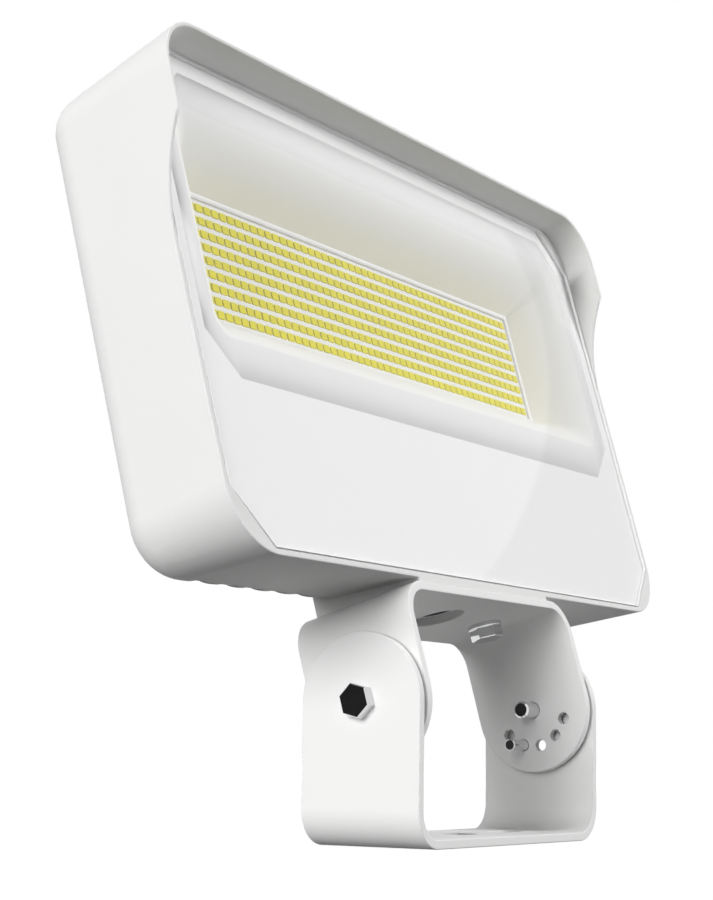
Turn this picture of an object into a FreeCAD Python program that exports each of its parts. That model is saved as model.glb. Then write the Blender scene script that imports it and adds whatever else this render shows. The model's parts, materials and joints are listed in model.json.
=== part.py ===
"""Flood light: a die-cast head on a yoke that tilts between the arms of a U bracket."""
import FreeCAD
import Part
import Sketcher
import math
import os
from FreeCAD import Placement, Rotation, Vector

# Driving dimensions, in millimetres and degrees.
# Head pieces are drawn upright about the tilt axis: X to the right, forward is -Y, Z up from the axis.
SIZES = {
    # Both brackets are bent from the same plate, with arms of the same width.
    "plate": 3.0,
    "arm_radius": 22.2,
    "bend_radius": 9.0,
    "lower_half_span": 61.4,
    "pivot_height": 45.9,
    "arm_gap": 1.9,
    "yoke_top": 34.4,
    "rest_tilt": 15.7,
    # Fixings of the base plate: a middle bore and two slots.
    "base_bore_radius": 6.75,
    "base_slot_offset": 33.0,
    "base_slot_radius": 4.2,
    "base_slot_length": 18.0,
    # Tilt axis.
    "pivot_bolt_radius": 3.0,
    "pivot_bolt_tip": 8.5,
    "running_clearance": 0.05,
    "hex_corner": 5.77,
    "hex_height": 4.0,
    "pivot_hex_turn": 16.0,
    # Index holes, lock screw and the curved slot that it runs in.
    "index_radius": 13.05,
    "index_pitch": 31.0,
    "index_count": 5,
    "lock_screw_radius": 2.0,
    "lock_screw_tip": 10.5,
    "lock_socket_corner": 1.155,
    "lock_socket_depth": 2.5,
    "slot_play": 0.35,
    "washer_gap": 1.0,
    "slot_back": 38.0,
    "slot_front": 15.0,
    # Bolts that hold the yoke to the head.
    "yoke_bolt_offset": 33.0,
    "yoke_bolt_depth": 7.6,
    "yoke_hole_play": 0.25,
    "yoke_washer_radius": 6.2,
    "yoke_washer_thickness": 1.6,
    "cable_hole_radius": 9.5,
    # Housing: outline at the visor's front edge, then drafted towards the back.
    "rim_plane": 21.5,
    "visor_reach": 11.8,
    "back_depth": 24.0,
    "shell_half_width": 143.5,
    "shell_lift": 0.2,
    "shell_height": 172.6,
    "draft": 6.0,
    "low_corner_radius": 22.5,
    "high_corner_radius": 19.0,
    "back_fillet": 12.5,
    "visor_wall": 1.5,
    "visor_foot_height": 98.4,
    "visor_rise": 39.5,
    "pad_half_width": 44.0,
    "pad_inset": 3.5,
    # Pane, the white mask behind it and the gasket they sit on.
    "lens_side_border": 3.5,
    "lens_bottom_border": 3.7,
    "lens_top_border": 3.7,
    "lens_chamfer": 17.2,
    "lens_stand": 0.3,
    "lens_thickness": 1.5,
    "lens_clearance": 0.3,
    "mask_thickness": 0.8,
    "gasket_thickness": 1.5,
    "seat_width": 5.4,
    "panel_height": 54.2,
    "window_inset": 5.7,
    "window_chamfer": 14.0,
    # Cooling fins: grooves cut into the back, shallow behind the driver and deep above and below it.
    "groove_pitch": 13.2,
    "groove_count": 18,
    "groove_width": 10.0,
    "groove_shallow": 6.0,
    "groove_deep": 18.0,
    "groove_foot": 15.0,
    "groove_rise": 3.0,
    "groove_ramp": 12.0,
    "groove_margin": 12.0,
    # Driver bay, sunk below the light board's floor.
    "bay_depth": 14.0,
    "bay_height": 48.0,
    "bay_side_border": 12.6,
    "bay_bottom_border": 2.3,
    # Light board and its chips.
    "board_drop": 0.35,
    "board_side_margin": 10.25,
    "board_end_margin": 6.0,
    "board_thickness": 1.6,
    "thermal_pad_thickness": 0.5,
    "thermal_pad_inset": 1.0,
    "chip_columns": 50,
    "chip_rows": 9,
    "chip_pitch_across": 4.31,
    "chip_pitch_up": 4.78,
    "chip_width": 3.5,
    "chip_height": 2.8,
    "chip_depth": 0.7,
    "board_screw_radius": 1.5,
    "board_screw_length": 6.0,
    "board_screw_head_radius": 2.75,
    "board_screw_head_height": 1.8,
    "board_screw_side": 3.5,
    "board_screw_end": 7.5,
    # Reflector: a flat flange behind the mask and a bell mouth down to the lip round the chips.
    "reflector_wall": 1.0,
    "reflector_play": 0.2,
    "flange_overlap": 4.0,
    "mouth_side": 6.0,
    "mouth_top": 11.2,
    "mouth_bottom": 13.1,
    "mouth_radius": 8.0,
    "mouth_steps": 5,
    "lip_side_margin": 1.25,
    "lip_end_margin": 0.7,
    "lip_height": 2.4,
    "lip_gap": 0.5,
    "lip_radius": 0.8,
    # Driver and what is wired to it.
    "driver_height": 36.0,
    "driver_depth": 26.0,
    "driver_edge": 2.0,
    "ear_length": 12.0,
    "ear_width": 18.0,
    "ear_thickness": 2.0,
    "driver_screw_radius": 1.5,
    "driver_screw_length": 5.0,
    "driver_screw_head_radius": 2.75,
    "driver_screw_head_height": 2.0,
    "surge_width": 26.0,
    "surge_height": 30.0,
    "surge_depth": 18.0,
    "terminal_width": 26.0,
    "terminal_height": 24.0,
    "terminal_depth": 14.0,
    "wire_port_radius": 2.2,
    "wire_port_depth": 9.0,
    "wire_port_pitch": 8.0,
    "side_unit_gap": 4.0,
    "driver_gap": 5.0,
    "lead_radius": 0.8,
    "lead_offset": 5.0,
    "lead_overlap": 2.5,
    # Cable inlet in the head's underside.
    "grommet_radius": 8.0,
    "grommet_bore_radius": 4.5,
    "grommet_step_radius": 6.5,
    "grommet_step_height": 3.5,
    "grommet_flange_radius": 10.5,
    "grommet_flange_height": 2.0,
    # Breather vent in the back.
    "vent_boss_radius": 9.0,
    "vent_stem_radius": 4.0,
    "vent_cap_radius": 8.0,
    "vent_cap_height": 3.0,
    "vent_seal_radius": 7.0,
    "vent_seal_thickness": 1.0,
}


class Size:
    """A number together with the sheet expression that it comes from."""

    def __init__(self, text, value):
        self.text = text
        self.value = value

    @staticmethod
    def wrap(other):
        if isinstance(other, Size):
            return other
        return Size(str(other), float(other))

    def join(self, sign, other, value):
        return Size(f"({self.text} {sign} {other.text})", value)

    def __add__(self, other):
        other = Size.wrap(other)
        return self.join("+", other, self.value + other.value)

    def __sub__(self, other):
        other = Size.wrap(other)
        return self.join("-", other, self.value - other.value)

    def __rsub__(self, other):
        return Size.wrap(other) - self

    def __mul__(self, other):
        other = Size.wrap(other)
        return self.join("*", other, self.value * other.value)

    def __truediv__(self, other):
        other = Size.wrap(other)
        return self.join("/", other, self.value / other.value)

    def __neg__(self):
        return Size(f"(0 - {self.text})", -self.value)

    def sine(self):
        return Size(f"sin({self.text} * 1 deg)", math.sin(math.radians(self.value)))

    def cosine(self):
        return Size(f"cos({self.text} * 1 deg)", math.cos(math.radians(self.value)))


class Sizes:
    """The sheet's cells, read by their aliases."""

    def __getattr__(self, alias):
        return Size(f"sizes.{alias}", float(SIZES[alias]))


doc = FreeCAD.newDocument("flood_light")
sheet = doc.addObject("Spreadsheet::Sheet", "sizes")
for row, (alias, number) in enumerate(SIZES.items(), start=1):
    sheet.set(f"A{row}", alias)
    sheet.set(f"B{row}", str(number))
    sheet.setAlias(f"B{row}", alias)
doc.recompute()

S = Sizes()
ZERO = Size("0", 0.0)
LOOSE = 1.0
NEAR = 0.01
ACROSS = Vector(1, 0, 0)
DEEP = Vector(0, 1, 0)
UP = Vector(0, 0, 1)
nodes = []


# Helpers for placing and binding

def bind(thing, path, size):
    thing.setExpression(path, Size.wrap(size).text)


def move(thing, x=ZERO, y=ZERO, z=ZERO):
    bind(thing, "Placement.Base.x", x)
    bind(thing, "Placement.Base.y", y)
    bind(thing, "Placement.Base.z", z)


def aim(thing, axis, angle):
    """Turn a thing about an axis by an angle."""
    thing.Placement = Placement(Vector(), Rotation(axis, angle))


def onto_head(thing):
    """Carry a head piece up to the tilt axis and lean it back to the rest tilt."""
    thing.Placement = Placement(Vector(), Rotation(Vector(-1, 0, 0), SIZES["rest_tilt"]))
    bind(thing, "Placement.Base.z", S.pivot_height)
    bind(thing, "Placement.Rotation.Angle", S.rest_tilt)


def keep(thing, label):
    """Name a finished sub-part, which is then written out under that name."""
    thing.Label = label
    nodes.append(thing)
    return thing


# Helpers for sketches

def new_body(name):
    return doc.addObject("PartDesign::Body", name)


def origin_feature(body, role):
    return next(feature for feature in body.Origin.OriginFeatures if feature.Role == role)


def new_sketch(body, name, role, offset=ZERO):
    sketch = body.newObject("Sketcher::SketchObject", name)
    sketch.AttachmentSupport = [(origin_feature(body, role), "")]
    sketch.MapMode = "FlatFace"
    bind(sketch, "AttachmentOffset.Base.z", offset)
    return sketch


def constrain(sketch, kind, parts, size):
    index = sketch.addConstraint(Sketcher.Constraint(kind, *parts, Size.wrap(size).value))
    bind(sketch, f"Constraints[{index}]", size)


def pin_point(sketch, geometry, point, x, y):
    constrain(sketch, "DistanceX", (-1, 1, geometry, point), x)
    constrain(sketch, "DistanceY", (-1, 1, geometry, point), y)


def arc_between(start, end, centre, turn):
    """The arc from start to end about a centre; turn is 1 for counterclockwise and -1 for clockwise."""
    first, last = (start, end) if turn > 0 else (end, start)
    angles = [math.atan2(point.y - centre.y, point.x - centre.x) for point in (first, last)]
    whole = Part.Circle(centre, Vector(0, 0, 1), (start - centre).Length)
    return Part.ArcOfCircle(whole, angles[0], angles[1])


def pin_centre(sketch, geometry, chord, x, y):
    """Fix an arc's centre by the coordinate that its ends leave free."""
    if abs(chord.y) > abs(chord.x):
        constrain(sketch, "DistanceX", (-1, 1, geometry, 3), x)
    else:
        constrain(sketch, "DistanceY", (-1, 1, geometry, 3), y)


def outline(sketch, corners):
    """Draw a closed outline of corners (x, y).

    A corner's third item (x, y, turn) is the centre of an arc that leads to the next corner.
    """
    spots = [Vector(corner[0].value, corner[1].value, 0) for corner in corners]
    pieces = []
    for number, corner in enumerate(corners):
        start = spots[number]
        end = spots[(number + 1) % len(spots)]
        if len(corner) == 3:
            x, y, turn = corner[2]
            geometry = sketch.addGeometry(arc_between(start, end, Vector(x.value, y.value, 0), turn))
            head, tail = (1, 2) if turn > 0 else (2, 1)
        else:
            geometry = sketch.addGeometry(Part.LineSegment(start, end))
            head, tail = 1, 2
        pieces.append((geometry, head, tail, end - start))
    for number, corner in enumerate(corners):
        geometry, head, tail, chord = pieces[number]
        following = pieces[(number + 1) % len(pieces)]
        sketch.addConstraint(Sketcher.Constraint("Coincident", geometry, tail, following[0], following[1]))
        pin_point(sketch, geometry, head, corner[0], corner[1])
        if len(corner) == 3:
            pin_centre(sketch, geometry, chord, corner[2][0], corner[2][1])
    return sketch


def rectangle(sketch, left, right, bottom, top):
    return outline(sketch, [(left, bottom), (right, bottom), (right, top), (left, top)])


def octagon(sketch, half_width, bottom, top, chamfer):
    low, high = half_width - chamfer, half_width
    return outline(sketch, [
        (-low, bottom), (low, bottom), (high, bottom + chamfer), (high, top - chamfer),
        (low, top), (-low, top), (-high, top - chamfer), (-high, bottom + chamfer),
    ])


def rounded_rectangle(sketch, half_width, bottom, top, low_radius, high_radius):
    low, high = bottom + low_radius, top - high_radius
    low_inner, high_inner = half_width - low_radius, half_width - high_radius
    return outline(sketch, [
        (-low_inner, bottom), (low_inner, bottom, (low_inner, low, 1)),
        (half_width, low), (half_width, high, (high_inner, high, 1)),
        (high_inner, top), (-high_inner, top, (-high_inner, high, 1)),
        (-half_width, high), (-half_width, low, (-low_inner, low, 1)),
    ])


def level_slot(sketch, middle, half_length, radius):
    """A slot along the sketch's x axis, centred at (middle, 0)."""
    left, right = middle - half_length + radius, middle + half_length - radius
    return outline(sketch, [
        (left, -radius), (right, -radius, (right, ZERO, 1)),
        (right, radius), (left, radius, (left, ZERO, 1)),
    ])


def circle(sketch, x, y, radius):
    spot = Vector(x.value, y.value, 0)
    geometry = sketch.addGeometry(Part.Circle(spot, Vector(0, 0, 1), radius.value))
    pin_point(sketch, geometry, 3, x, y)
    constrain(sketch, "Radius", (geometry,), radius)
    return sketch


# Helpers for features

def pad(body, sketch, length, reverse=False, both=False, taper=None):
    feature = body.newObject("PartDesign::Pad", f"{sketch.Name}_pad")
    feature.Profile = sketch
    feature.Reversed = reverse
    if both:
        feature.SideType = "Symmetric"
    bind(feature, "Length", length)
    if taper is not None:
        bind(feature, "TaperAngle", taper)
    doc.recompute()
    return feature


def must_cut(feature, before):
    doc.recompute()
    after = feature.Shape.Volume
    if after >= before - NEAR:
        raise RuntimeError(f"{feature.Name} removes nothing")
    return feature


def pocket(body, sketch, depth, reverse=False, both=False, taper=None):
    before = body.Shape.Volume
    feature = body.newObject("PartDesign::Pocket", f"{sketch.Name}_pocket")
    feature.Profile = sketch
    feature.Reversed = reverse
    if both:
        feature.SideType = "Symmetric"
    bind(feature, "Length", depth)
    if taper is not None:
        bind(feature, "TaperAngle", taper)
    return must_cut(feature, before)


def mirror(body, feature, role):
    copy = body.newObject("PartDesign::Mirrored", f"{feature.Name}_mirror")
    copy.Originals = [feature]
    copy.MirrorPlane = (origin_feature(body, role), [""])
    body.Tip = copy
    doc.recompute()
    return copy


def fillet(body, chosen, radius):
    """Round the edges of the body's tip for which chosen(edge) is true."""
    base = body.Tip
    names = [f"Edge{number}" for number, edge in enumerate(base.Shape.Edges, start=1) if chosen(edge)]
    feature = body.newObject("PartDesign::Fillet", f"{base.Name}_fillet")
    feature.Base = (base, names)
    bind(feature, "Radius", radius)
    doc.recompute()
    return feature


def edge_runs_along(edge, axis):
    if edge.Curve.TypeId != "Part::GeomLine":
        return False
    direction = edge.tangentAt(edge.FirstParameter)
    return abs(direction.dot(axis)) > 0.9


def edge_passes(edge, x, z):
    middle = edge.CenterOfMass
    return abs(abs(middle.x) - x) < NEAR and abs(middle.z - z) < NEAR


# Helpers for turned pieces and boxes

def cylinder(name, radius, height, x=ZERO, y=ZERO, z=ZERO):
    solid = doc.addObject("Part::Cylinder", name)
    bind(solid, "Radius", radius)
    bind(solid, "Height", height)
    move(solid, x, y, z)
    return solid


def box(name, width, depth, height, x, y, z):
    """A box centred on x, with its front at y and its bottom at z."""
    solid = doc.addObject("Part::Box", name)
    bind(solid, "Length", width)
    bind(solid, "Width", depth)
    bind(solid, "Height", height)
    move(solid, x - width / 2, y, z)
    return solid


def cut(name, base, tool):
    solid = doc.addObject("Part::Cut", name)
    solid.Base = base
    solid.Tool = tool
    return solid


def fuse(name, solids):
    solid = doc.addObject("Part::MultiFuse", name)
    solid.Shapes = solids
    return solid


def group(name, solids):
    solid = doc.addObject("Part::Compound", name)
    solid.Links = solids
    return solid


def ring(name, outer, bore, height):
    return cut(name, cylinder(f"{name}_disc", outer, height), cylinder(f"{name}_bore", bore, height))


def hex_prism(name, corner, height):
    prism = doc.addObject("Part::Prism", name)
    prism.Polygon = 6
    bind(prism, "Circumradius", corner)
    bind(prism, "Height", height)
    return prism


def hex_bolt(name, radius, length, corner, height, turn=ZERO):
    """A hex bolt along Z: its head stands on the XY plane, turned that far, and its shank hangs below."""
    head = hex_prism(f"{name}_head", corner, height)
    aim(head, UP, turn.value)
    bind(head, "Placement.Rotation.Angle", turn)
    shank = cylinder(f"{name}_shank", radius, length, z=-length)
    return fuse(name, [head, shank])


def pan_screw(name, radius, length, head_radius, head_height):
    """A round-headed screw along Z, head up."""
    head = cylinder(f"{name}_head", head_radius, head_height)
    shank = cylinder(f"{name}_shank", radius, length, z=-length)
    return fuse(name, [head, shank])


# Places that several pieces share

lower_inner = S.lower_half_span - S.plate
yoke_outer = lower_inner - S.arm_gap
yoke_inner = yoke_outer - S.plate
arm_width = S.arm_radius * 2
bend_outer = S.bend_radius + S.plate
bolt_hole = S.pivot_bolt_radius + S.running_clearance
lock_hole = S.lock_screw_radius + S.running_clearance
slot_half = S.lock_screw_radius + S.slot_play
shell_bottom = S.yoke_top + S.shell_lift
shell_top = shell_bottom + S.shell_height
visor_front = S.rim_plane + S.visor_reach
visor_foot = shell_bottom + S.visor_foot_height
visor_peak = visor_foot + S.visor_rise
lens_half_width = S.shell_half_width - S.lens_side_border
lens_bottom = shell_bottom + S.lens_bottom_border
lens_top = shell_top - S.lens_top_border
lens_back = S.rim_plane + S.lens_stand - S.lens_thickness
mask_back = lens_back - S.mask_thickness
ledge = mask_back - S.gasket_thickness
inset_share = 2 - math.sqrt(2)
cavity_half_width = lens_half_width - S.seat_width
cavity_bottom = lens_bottom + S.seat_width
cavity_top = lens_top - S.seat_width
cavity_chamfer = S.lens_chamfer - S.seat_width * inset_share
window_half_width = lens_half_width - S.window_inset
window_bottom = lens_bottom + S.panel_height
window_top = lens_top - S.window_inset
bay_half_width = cavity_half_width - S.bay_side_border
bay_bottom = cavity_bottom + S.bay_bottom_border
bay_top = bay_bottom + S.bay_height
bay_middle = bay_bottom + S.bay_height / 2
driver_half_length = bay_half_width - S.side_unit_gap - S.surge_width - S.driver_gap - S.ear_length
ear_middle = driver_half_length + S.ear_length / 2
array_half_width = S.chip_pitch_across * S.chip_columns / 2
array_half_height = S.chip_pitch_up * S.chip_rows / 2
board_middle = (window_bottom + window_top) / 2 - S.board_drop
board_half_width = array_half_width + S.board_side_margin
board_half_height = array_half_height + S.board_end_margin
board_back = S.thermal_pad_thickness
board_face = board_back + S.board_thickness


# U brackets

def bracket_arms(body, centre, outer):
    """Round arm ends about the pivot, on both sides."""
    disc = circle(new_sketch(body, f"{body.Name}_arm_end", "YZ_Plane", outer - S.plate),
                  ZERO, centre, S.arm_radius)
    mirror(body, pad(body, disc, S.plate), "YZ_Plane")


def pivot_holes(body, centre, reach):
    hole = circle(new_sketch(body, f"{body.Name}_pivot", "YZ_Plane"), ZERO, centre, bolt_hole)
    pocket(body, hole, reach * 2 + LOOSE, both=True)


def make_lower_bracket():
    body = new_body("lower_bracket")
    outer = S.lower_half_span
    profile = outline(new_sketch(body, "lower_profile", "XZ_Plane"), [
        (-outer, ZERO), (outer, ZERO), (outer, S.pivot_height), (lower_inner, S.pivot_height),
        (lower_inner, S.plate), (-lower_inner, S.plate),
        (-lower_inner, S.pivot_height), (-outer, S.pivot_height),
    ])
    pad(body, profile, arm_width, both=True)
    fillet(body, lambda edge: edge_runs_along(edge, DEEP) and edge_passes(edge, outer.value, 0), bend_outer)
    fillet(body, lambda edge: edge_runs_along(edge, DEEP)
           and edge_passes(edge, lower_inner.value, S.plate.value), S.bend_radius)
    bracket_arms(body, S.pivot_height, outer)
    pivot_holes(body, S.pivot_height, outer)
    cut_lock_slot(body)
    bore = circle(new_sketch(body, "base_bore", "XY_Plane"), ZERO, ZERO, S.base_bore_radius)
    pocket(body, bore, S.plate, reverse=True)
    slot = level_slot(new_sketch(body, "base_slot", "XY_Plane"),
                      S.base_slot_offset, S.base_slot_length / 2, S.base_slot_radius)
    mirror(body, pocket(body, slot, S.plate, reverse=True), "YZ_Plane")
    return keep(body, "lower_bracket")


def cut_lock_slot(body):
    """The curved slot under the pivot in the right arm, with round ends; angles are from straight down."""
    inner, outer = S.index_radius - slot_half, S.index_radius + slot_half
    back, front = S.slot_back, -S.slot_front

    def spot(radius, angle):
        return radius * angle.sine(), S.pivot_height - radius * angle.cosine()

    sketch = outline(new_sketch(body, "lock_slot", "YZ_Plane", lower_inner - LOOSE), [
        (*spot(inner, front), (ZERO, S.pivot_height, 1)),
        (*spot(inner, back), (*spot(S.index_radius, back), -1)),
        (*spot(outer, back), (ZERO, S.pivot_height, -1)),
        (*spot(outer, front), (*spot(S.index_radius, front), -1)),
    ])
    pocket(body, sketch, S.plate + LOOSE * 2, reverse=True)


def make_upper_bracket():
    body = new_body("upper_bracket")
    under = S.yoke_top - S.plate
    profile = outline(new_sketch(body, "yoke_profile", "XZ_Plane"), [
        (-yoke_outer, ZERO), (-yoke_inner, ZERO), (-yoke_inner, under), (yoke_inner, under),
        (yoke_inner, ZERO), (yoke_outer, ZERO), (yoke_outer, S.yoke_top), (-yoke_outer, S.yoke_top),
    ])
    pad(body, profile, arm_width, both=True)
    fillet(body, lambda edge: edge_runs_along(edge, DEEP)
           and edge_passes(edge, yoke_outer.value, S.yoke_top.value), bend_outer)
    fillet(body, lambda edge: edge_runs_along(edge, DEEP)
           and edge_passes(edge, yoke_inner.value, under.value), S.bend_radius)
    bracket_arms(body, ZERO, yoke_outer)
    pivot_holes(body, ZERO, yoke_outer)
    drill_index_holes(body)
    hole = circle(new_sketch(body, "cable_hole", "XY_Plane", S.yoke_top), ZERO, ZERO, S.cable_hole_radius)
    pocket(body, hole, S.plate)
    bolt = circle(new_sketch(body, "yoke_bolt_hole", "XY_Plane", S.yoke_top),
                  S.yoke_bolt_offset, ZERO, S.pivot_bolt_radius + S.yoke_hole_play)
    mirror(body, pocket(body, bolt, S.plate), "YZ_Plane")
    onto_head(body)
    return keep(body, "upper_bracket")


def drill_index_holes(body):
    """Tapped holes on an arc round the pivot, in the right arm only, from front to back."""
    sweep = S.index_pitch * (S.index_count - 1)
    first = sweep / 2
    sketch = circle(new_sketch(body, "index_hole", "YZ_Plane", yoke_inner - LOOSE),
                    -(S.index_radius * first.sine()), -(S.index_radius * first.cosine()), lock_hole)
    hole = pocket(body, sketch, S.plate + LOOSE * 2, reverse=True)
    pattern = body.newObject("PartDesign::PolarPattern", "index_holes")
    pattern.Originals = [hole]
    pattern.Axis = (origin_feature(body, "X_Axis"), [""])
    bind(pattern, "Angle", sweep)
    bind(pattern, "Occurrences", S.index_count)
    body.Tip = pattern
    must_cut(pattern, hole.Shape.Volume)


# Fasteners of the brackets

def across_pair(name, make, x):
    """Two like solids on the tilt axis, one facing each way, seated at -x and x."""
    solids = []
    for side, turn in (("left", -90), ("right", 90)):
        solid = make(f"{name}_{side}")
        aim(solid, DEEP, turn)
        move(solid, x if turn > 0 else -x, ZERO, S.pivot_height)
        solids.append(solid)
    return keep(group(name, solids), name)


def make_pivot_bolts():
    length = S.plate * 2 + S.arm_gap + S.pivot_bolt_tip
    across_pair("pivot_bolts", lambda name: hex_bolt(
        name, S.pivot_bolt_radius, length, S.hex_corner, S.hex_height, S.pivot_hex_turn), S.lower_half_span)


def make_friction_washers():
    radius = S.index_radius - lock_hole - S.washer_gap
    across_pair("friction_washers", lambda name: ring(name, radius, bolt_hole, S.arm_gap), yoke_outer)


def make_lock_screw():
    """A set screw in the second index hole from the back, flush with the outside of the curved slot."""
    length = S.plate * 2 + S.arm_gap + S.lock_screw_tip
    shank = cylinder("lock_shank", S.lock_screw_radius, length, z=-length)
    socket = hex_prism("lock_socket", S.lock_socket_corner, S.lock_socket_depth)
    move(socket, z=-S.lock_socket_depth)
    screw = cut("lock_screw", shank, socket)
    aim(screw, DEEP, 90)
    angle = S.index_pitch * (S.index_count - 3) / 2 - S.rest_tilt
    move(screw, S.lower_half_span, S.index_radius * angle.sine(),
         S.pivot_height - S.index_radius * angle.cosine())
    return keep(screw, "lock_screw")


def head_pair(name, make, x, y, z, half_turn=False):
    """Two like solids of the head, at -x and x."""
    solids = []
    for side, place in (("left", -x), ("right", x)):
        solid = make(f"{name}_{side}")
        if half_turn:
            aim(solid, ACROSS, 180)
        move(solid, place, y, z)
        solids.append(solid)
    whole = group(name, solids)
    onto_head(whole)
    return keep(whole, name)


def make_yoke_fixings():
    seat = S.yoke_top - S.plate
    head_pair("yoke_washers", lambda name: ring(
        name, S.yoke_washer_radius, S.pivot_bolt_radius + S.yoke_hole_play, S.yoke_washer_thickness),
        S.yoke_bolt_offset, ZERO, seat - S.yoke_washer_thickness)
    length = S.yoke_washer_thickness + S.plate + S.yoke_bolt_depth
    head_pair("yoke_bolts", lambda name: hex_bolt(
        name, S.pivot_bolt_radius, length, S.hex_corner, S.hex_height),
        S.yoke_bolt_offset, ZERO, seat - S.yoke_washer_thickness, half_turn=True)


# Housing

def make_housing():
    body = new_body("housing")
    shell = rounded_rectangle(new_sketch(body, "shell", "XZ_Plane", visor_front), S.shell_half_width,
                              shell_bottom, shell_top, S.low_corner_radius, S.high_corner_radius)
    pad(body, shell, visor_front + S.back_depth, reverse=True, taper=-S.draft)
    fillet(body, lambda edge: edge.BoundBox.YMin > S.back_depth.value - NEAR, S.back_fillet)
    cut_grooves(body)
    foot = rectangle(new_sketch(body, "bracket_pad", "XY_Plane", S.yoke_top),
                     -S.pad_half_width, S.pad_half_width, -S.rim_plane, S.back_depth - S.pad_inset)
    pad(body, foot, bay_bottom - S.yoke_top)
    cut_hood(body)
    cut_cavities(body)
    drill_housing(body)
    onto_head(body)
    return keep(body, "housing")


def cut_grooves(body):
    """Upright grooves that leave the fins, shallow behind the bay and deep above and below it."""
    behind, low = S.back_depth + LOOSE, shell_bottom - LOOSE
    shallow, deep = S.back_depth - S.groove_shallow, S.back_depth - S.groove_deep
    foot = S.back_depth - S.groove_foot
    step, end = bay_top + S.groove_rise, shell_top - S.groove_margin
    start = -(S.groove_pitch * (S.groove_count - 1) / 2)
    sketch = outline(new_sketch(body, "groove", "YZ_Plane", start), [
        (behind, low), (behind, end), (deep, end - S.groove_margin / 2),
        (deep, step + S.groove_ramp), (shallow, step), (shallow, bay_bottom), (foot, low),
    ])
    groove = pocket(body, sketch, S.groove_width, both=True)
    pattern = body.newObject("PartDesign::LinearPattern", "grooves")
    pattern.Originals = [groove]
    pattern.Direction = (origin_feature(body, "X_Axis"), [""])
    bind(pattern, "Length", S.groove_pitch * (S.groove_count - 1))
    bind(pattern, "Occurrences", S.groove_count)
    body.Tip = pattern
    must_cut(pattern, groove.Shape.Volume)


def cut_hood(body):
    """Hollow out the visor, then trim its sides to a peak that sweeps back to the rim."""
    wall, rim, reach = S.visor_wall, S.rim_plane, S.visor_reach
    hollow = rounded_rectangle(new_sketch(body, "hood", "XZ_Plane", visor_front),
                               S.shell_half_width - wall, shell_bottom + wall, shell_top - wall,
                               S.low_corner_radius - wall, S.high_corner_radius - wall)
    pocket(body, hollow, reach, taper=-S.draft)
    sweep = (reach * reach + S.visor_rise * S.visor_rise) / (reach * 2)
    low, far = S.yoke_top - LOOSE, visor_front + LOOSE
    trim = outline(new_sketch(body, "visor_trim", "YZ_Plane"), [
        (-rim, low), (-rim, visor_foot, (-(rim + sweep), visor_foot, 1)),
        (-visor_front, visor_peak), (-far, visor_peak), (-far, low),
    ])
    pocket(body, trim, S.shell_half_width * 2 + LOOSE, both=True)


def cut_cavities(body):
    """The pane's recess, the space behind it and the driver bay."""
    gap = S.lens_clearance
    recess = octagon(new_sketch(body, "lens_recess", "XZ_Plane", S.rim_plane), lens_half_width + gap,
                     lens_bottom - gap, lens_top + gap, S.lens_chamfer + gap * inset_share)
    pocket(body, recess, S.rim_plane - ledge)
    pocket(body, cavity_octagon(body, "cavity", ledge), ledge)
    bay = rectangle(new_sketch(body, "driver_bay", "XZ_Plane"),
                    -bay_half_width, bay_half_width, bay_bottom, bay_top)
    pocket(body, bay, S.bay_depth)


def cavity_octagon(body, name, plane):
    return octagon(new_sketch(body, name, "XZ_Plane", plane),
                   cavity_half_width, cavity_bottom, cavity_top, cavity_chamfer)


def drill_housing(body):
    boss = circle(new_sketch(body, "vent_boss", "XZ_Plane", S.groove_shallow - S.back_depth),
                  ZERO, bay_middle, S.vent_boss_radius)
    pad(body, boss, S.groove_shallow, reverse=True)
    vent = circle(new_sketch(body, "vent_hole", "XZ_Plane", -S.back_depth),
                  ZERO, bay_middle, S.vent_stem_radius + S.running_clearance)
    pocket(body, vent, S.back_depth - S.bay_depth, reverse=True)
    inlet = circle(new_sketch(body, "inlet", "XY_Plane", S.yoke_top),
                   ZERO, ZERO, S.grommet_radius + S.running_clearance)
    pocket(body, inlet, bay_bottom - S.yoke_top, reverse=True)
    bolt = circle(new_sketch(body, "yoke_thread", "XY_Plane", S.yoke_top),
                  S.yoke_bolt_offset, ZERO, bolt_hole)
    mirror(body, pocket(body, bolt, S.yoke_bolt_depth + S.lens_clearance, reverse=True), "YZ_Plane")
    screws = new_sketch(body, "board_threads", "XZ_Plane")
    for x, z in board_screw_spots():
        circle(screws, x, z, S.board_screw_radius + S.running_clearance)
    pocket(body, screws, S.board_screw_length - board_face + S.lens_clearance)
    ears = new_sketch(body, "driver_threads", "XZ_Plane", -S.bay_depth)
    for x in (-ear_middle, ear_middle):
        circle(ears, x, bay_middle, S.driver_screw_radius + S.running_clearance)
    pocket(body, ears, S.driver_screw_length - S.ear_thickness + S.lens_clearance)


def board_screw_spots():
    across, up = board_half_width - S.board_screw_side, board_half_height - S.board_screw_end
    return [(x, board_middle + z) for x in (-across, across) for z in (-up, up)]


# Front of the head

def lens_octagon(body, name, plane):
    return octagon(new_sketch(body, name, "XZ_Plane", plane),
                   lens_half_width, lens_bottom, lens_top, S.lens_chamfer)


def head_body(name):
    body = new_body(name)
    onto_head(body)
    return keep(body, name)


def make_lens():
    body = head_body("lens_glass")
    pad(body, lens_octagon(body, "pane", lens_back), S.lens_thickness)


def make_mask():
    body = head_body("front_mask")
    pad(body, lens_octagon(body, "mask_sheet", mask_back), S.mask_thickness)
    window = octagon(new_sketch(body, "window", "XZ_Plane", lens_back),
                     window_half_width, window_bottom, window_top, S.window_chamfer)
    pocket(body, window, S.mask_thickness)


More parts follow.
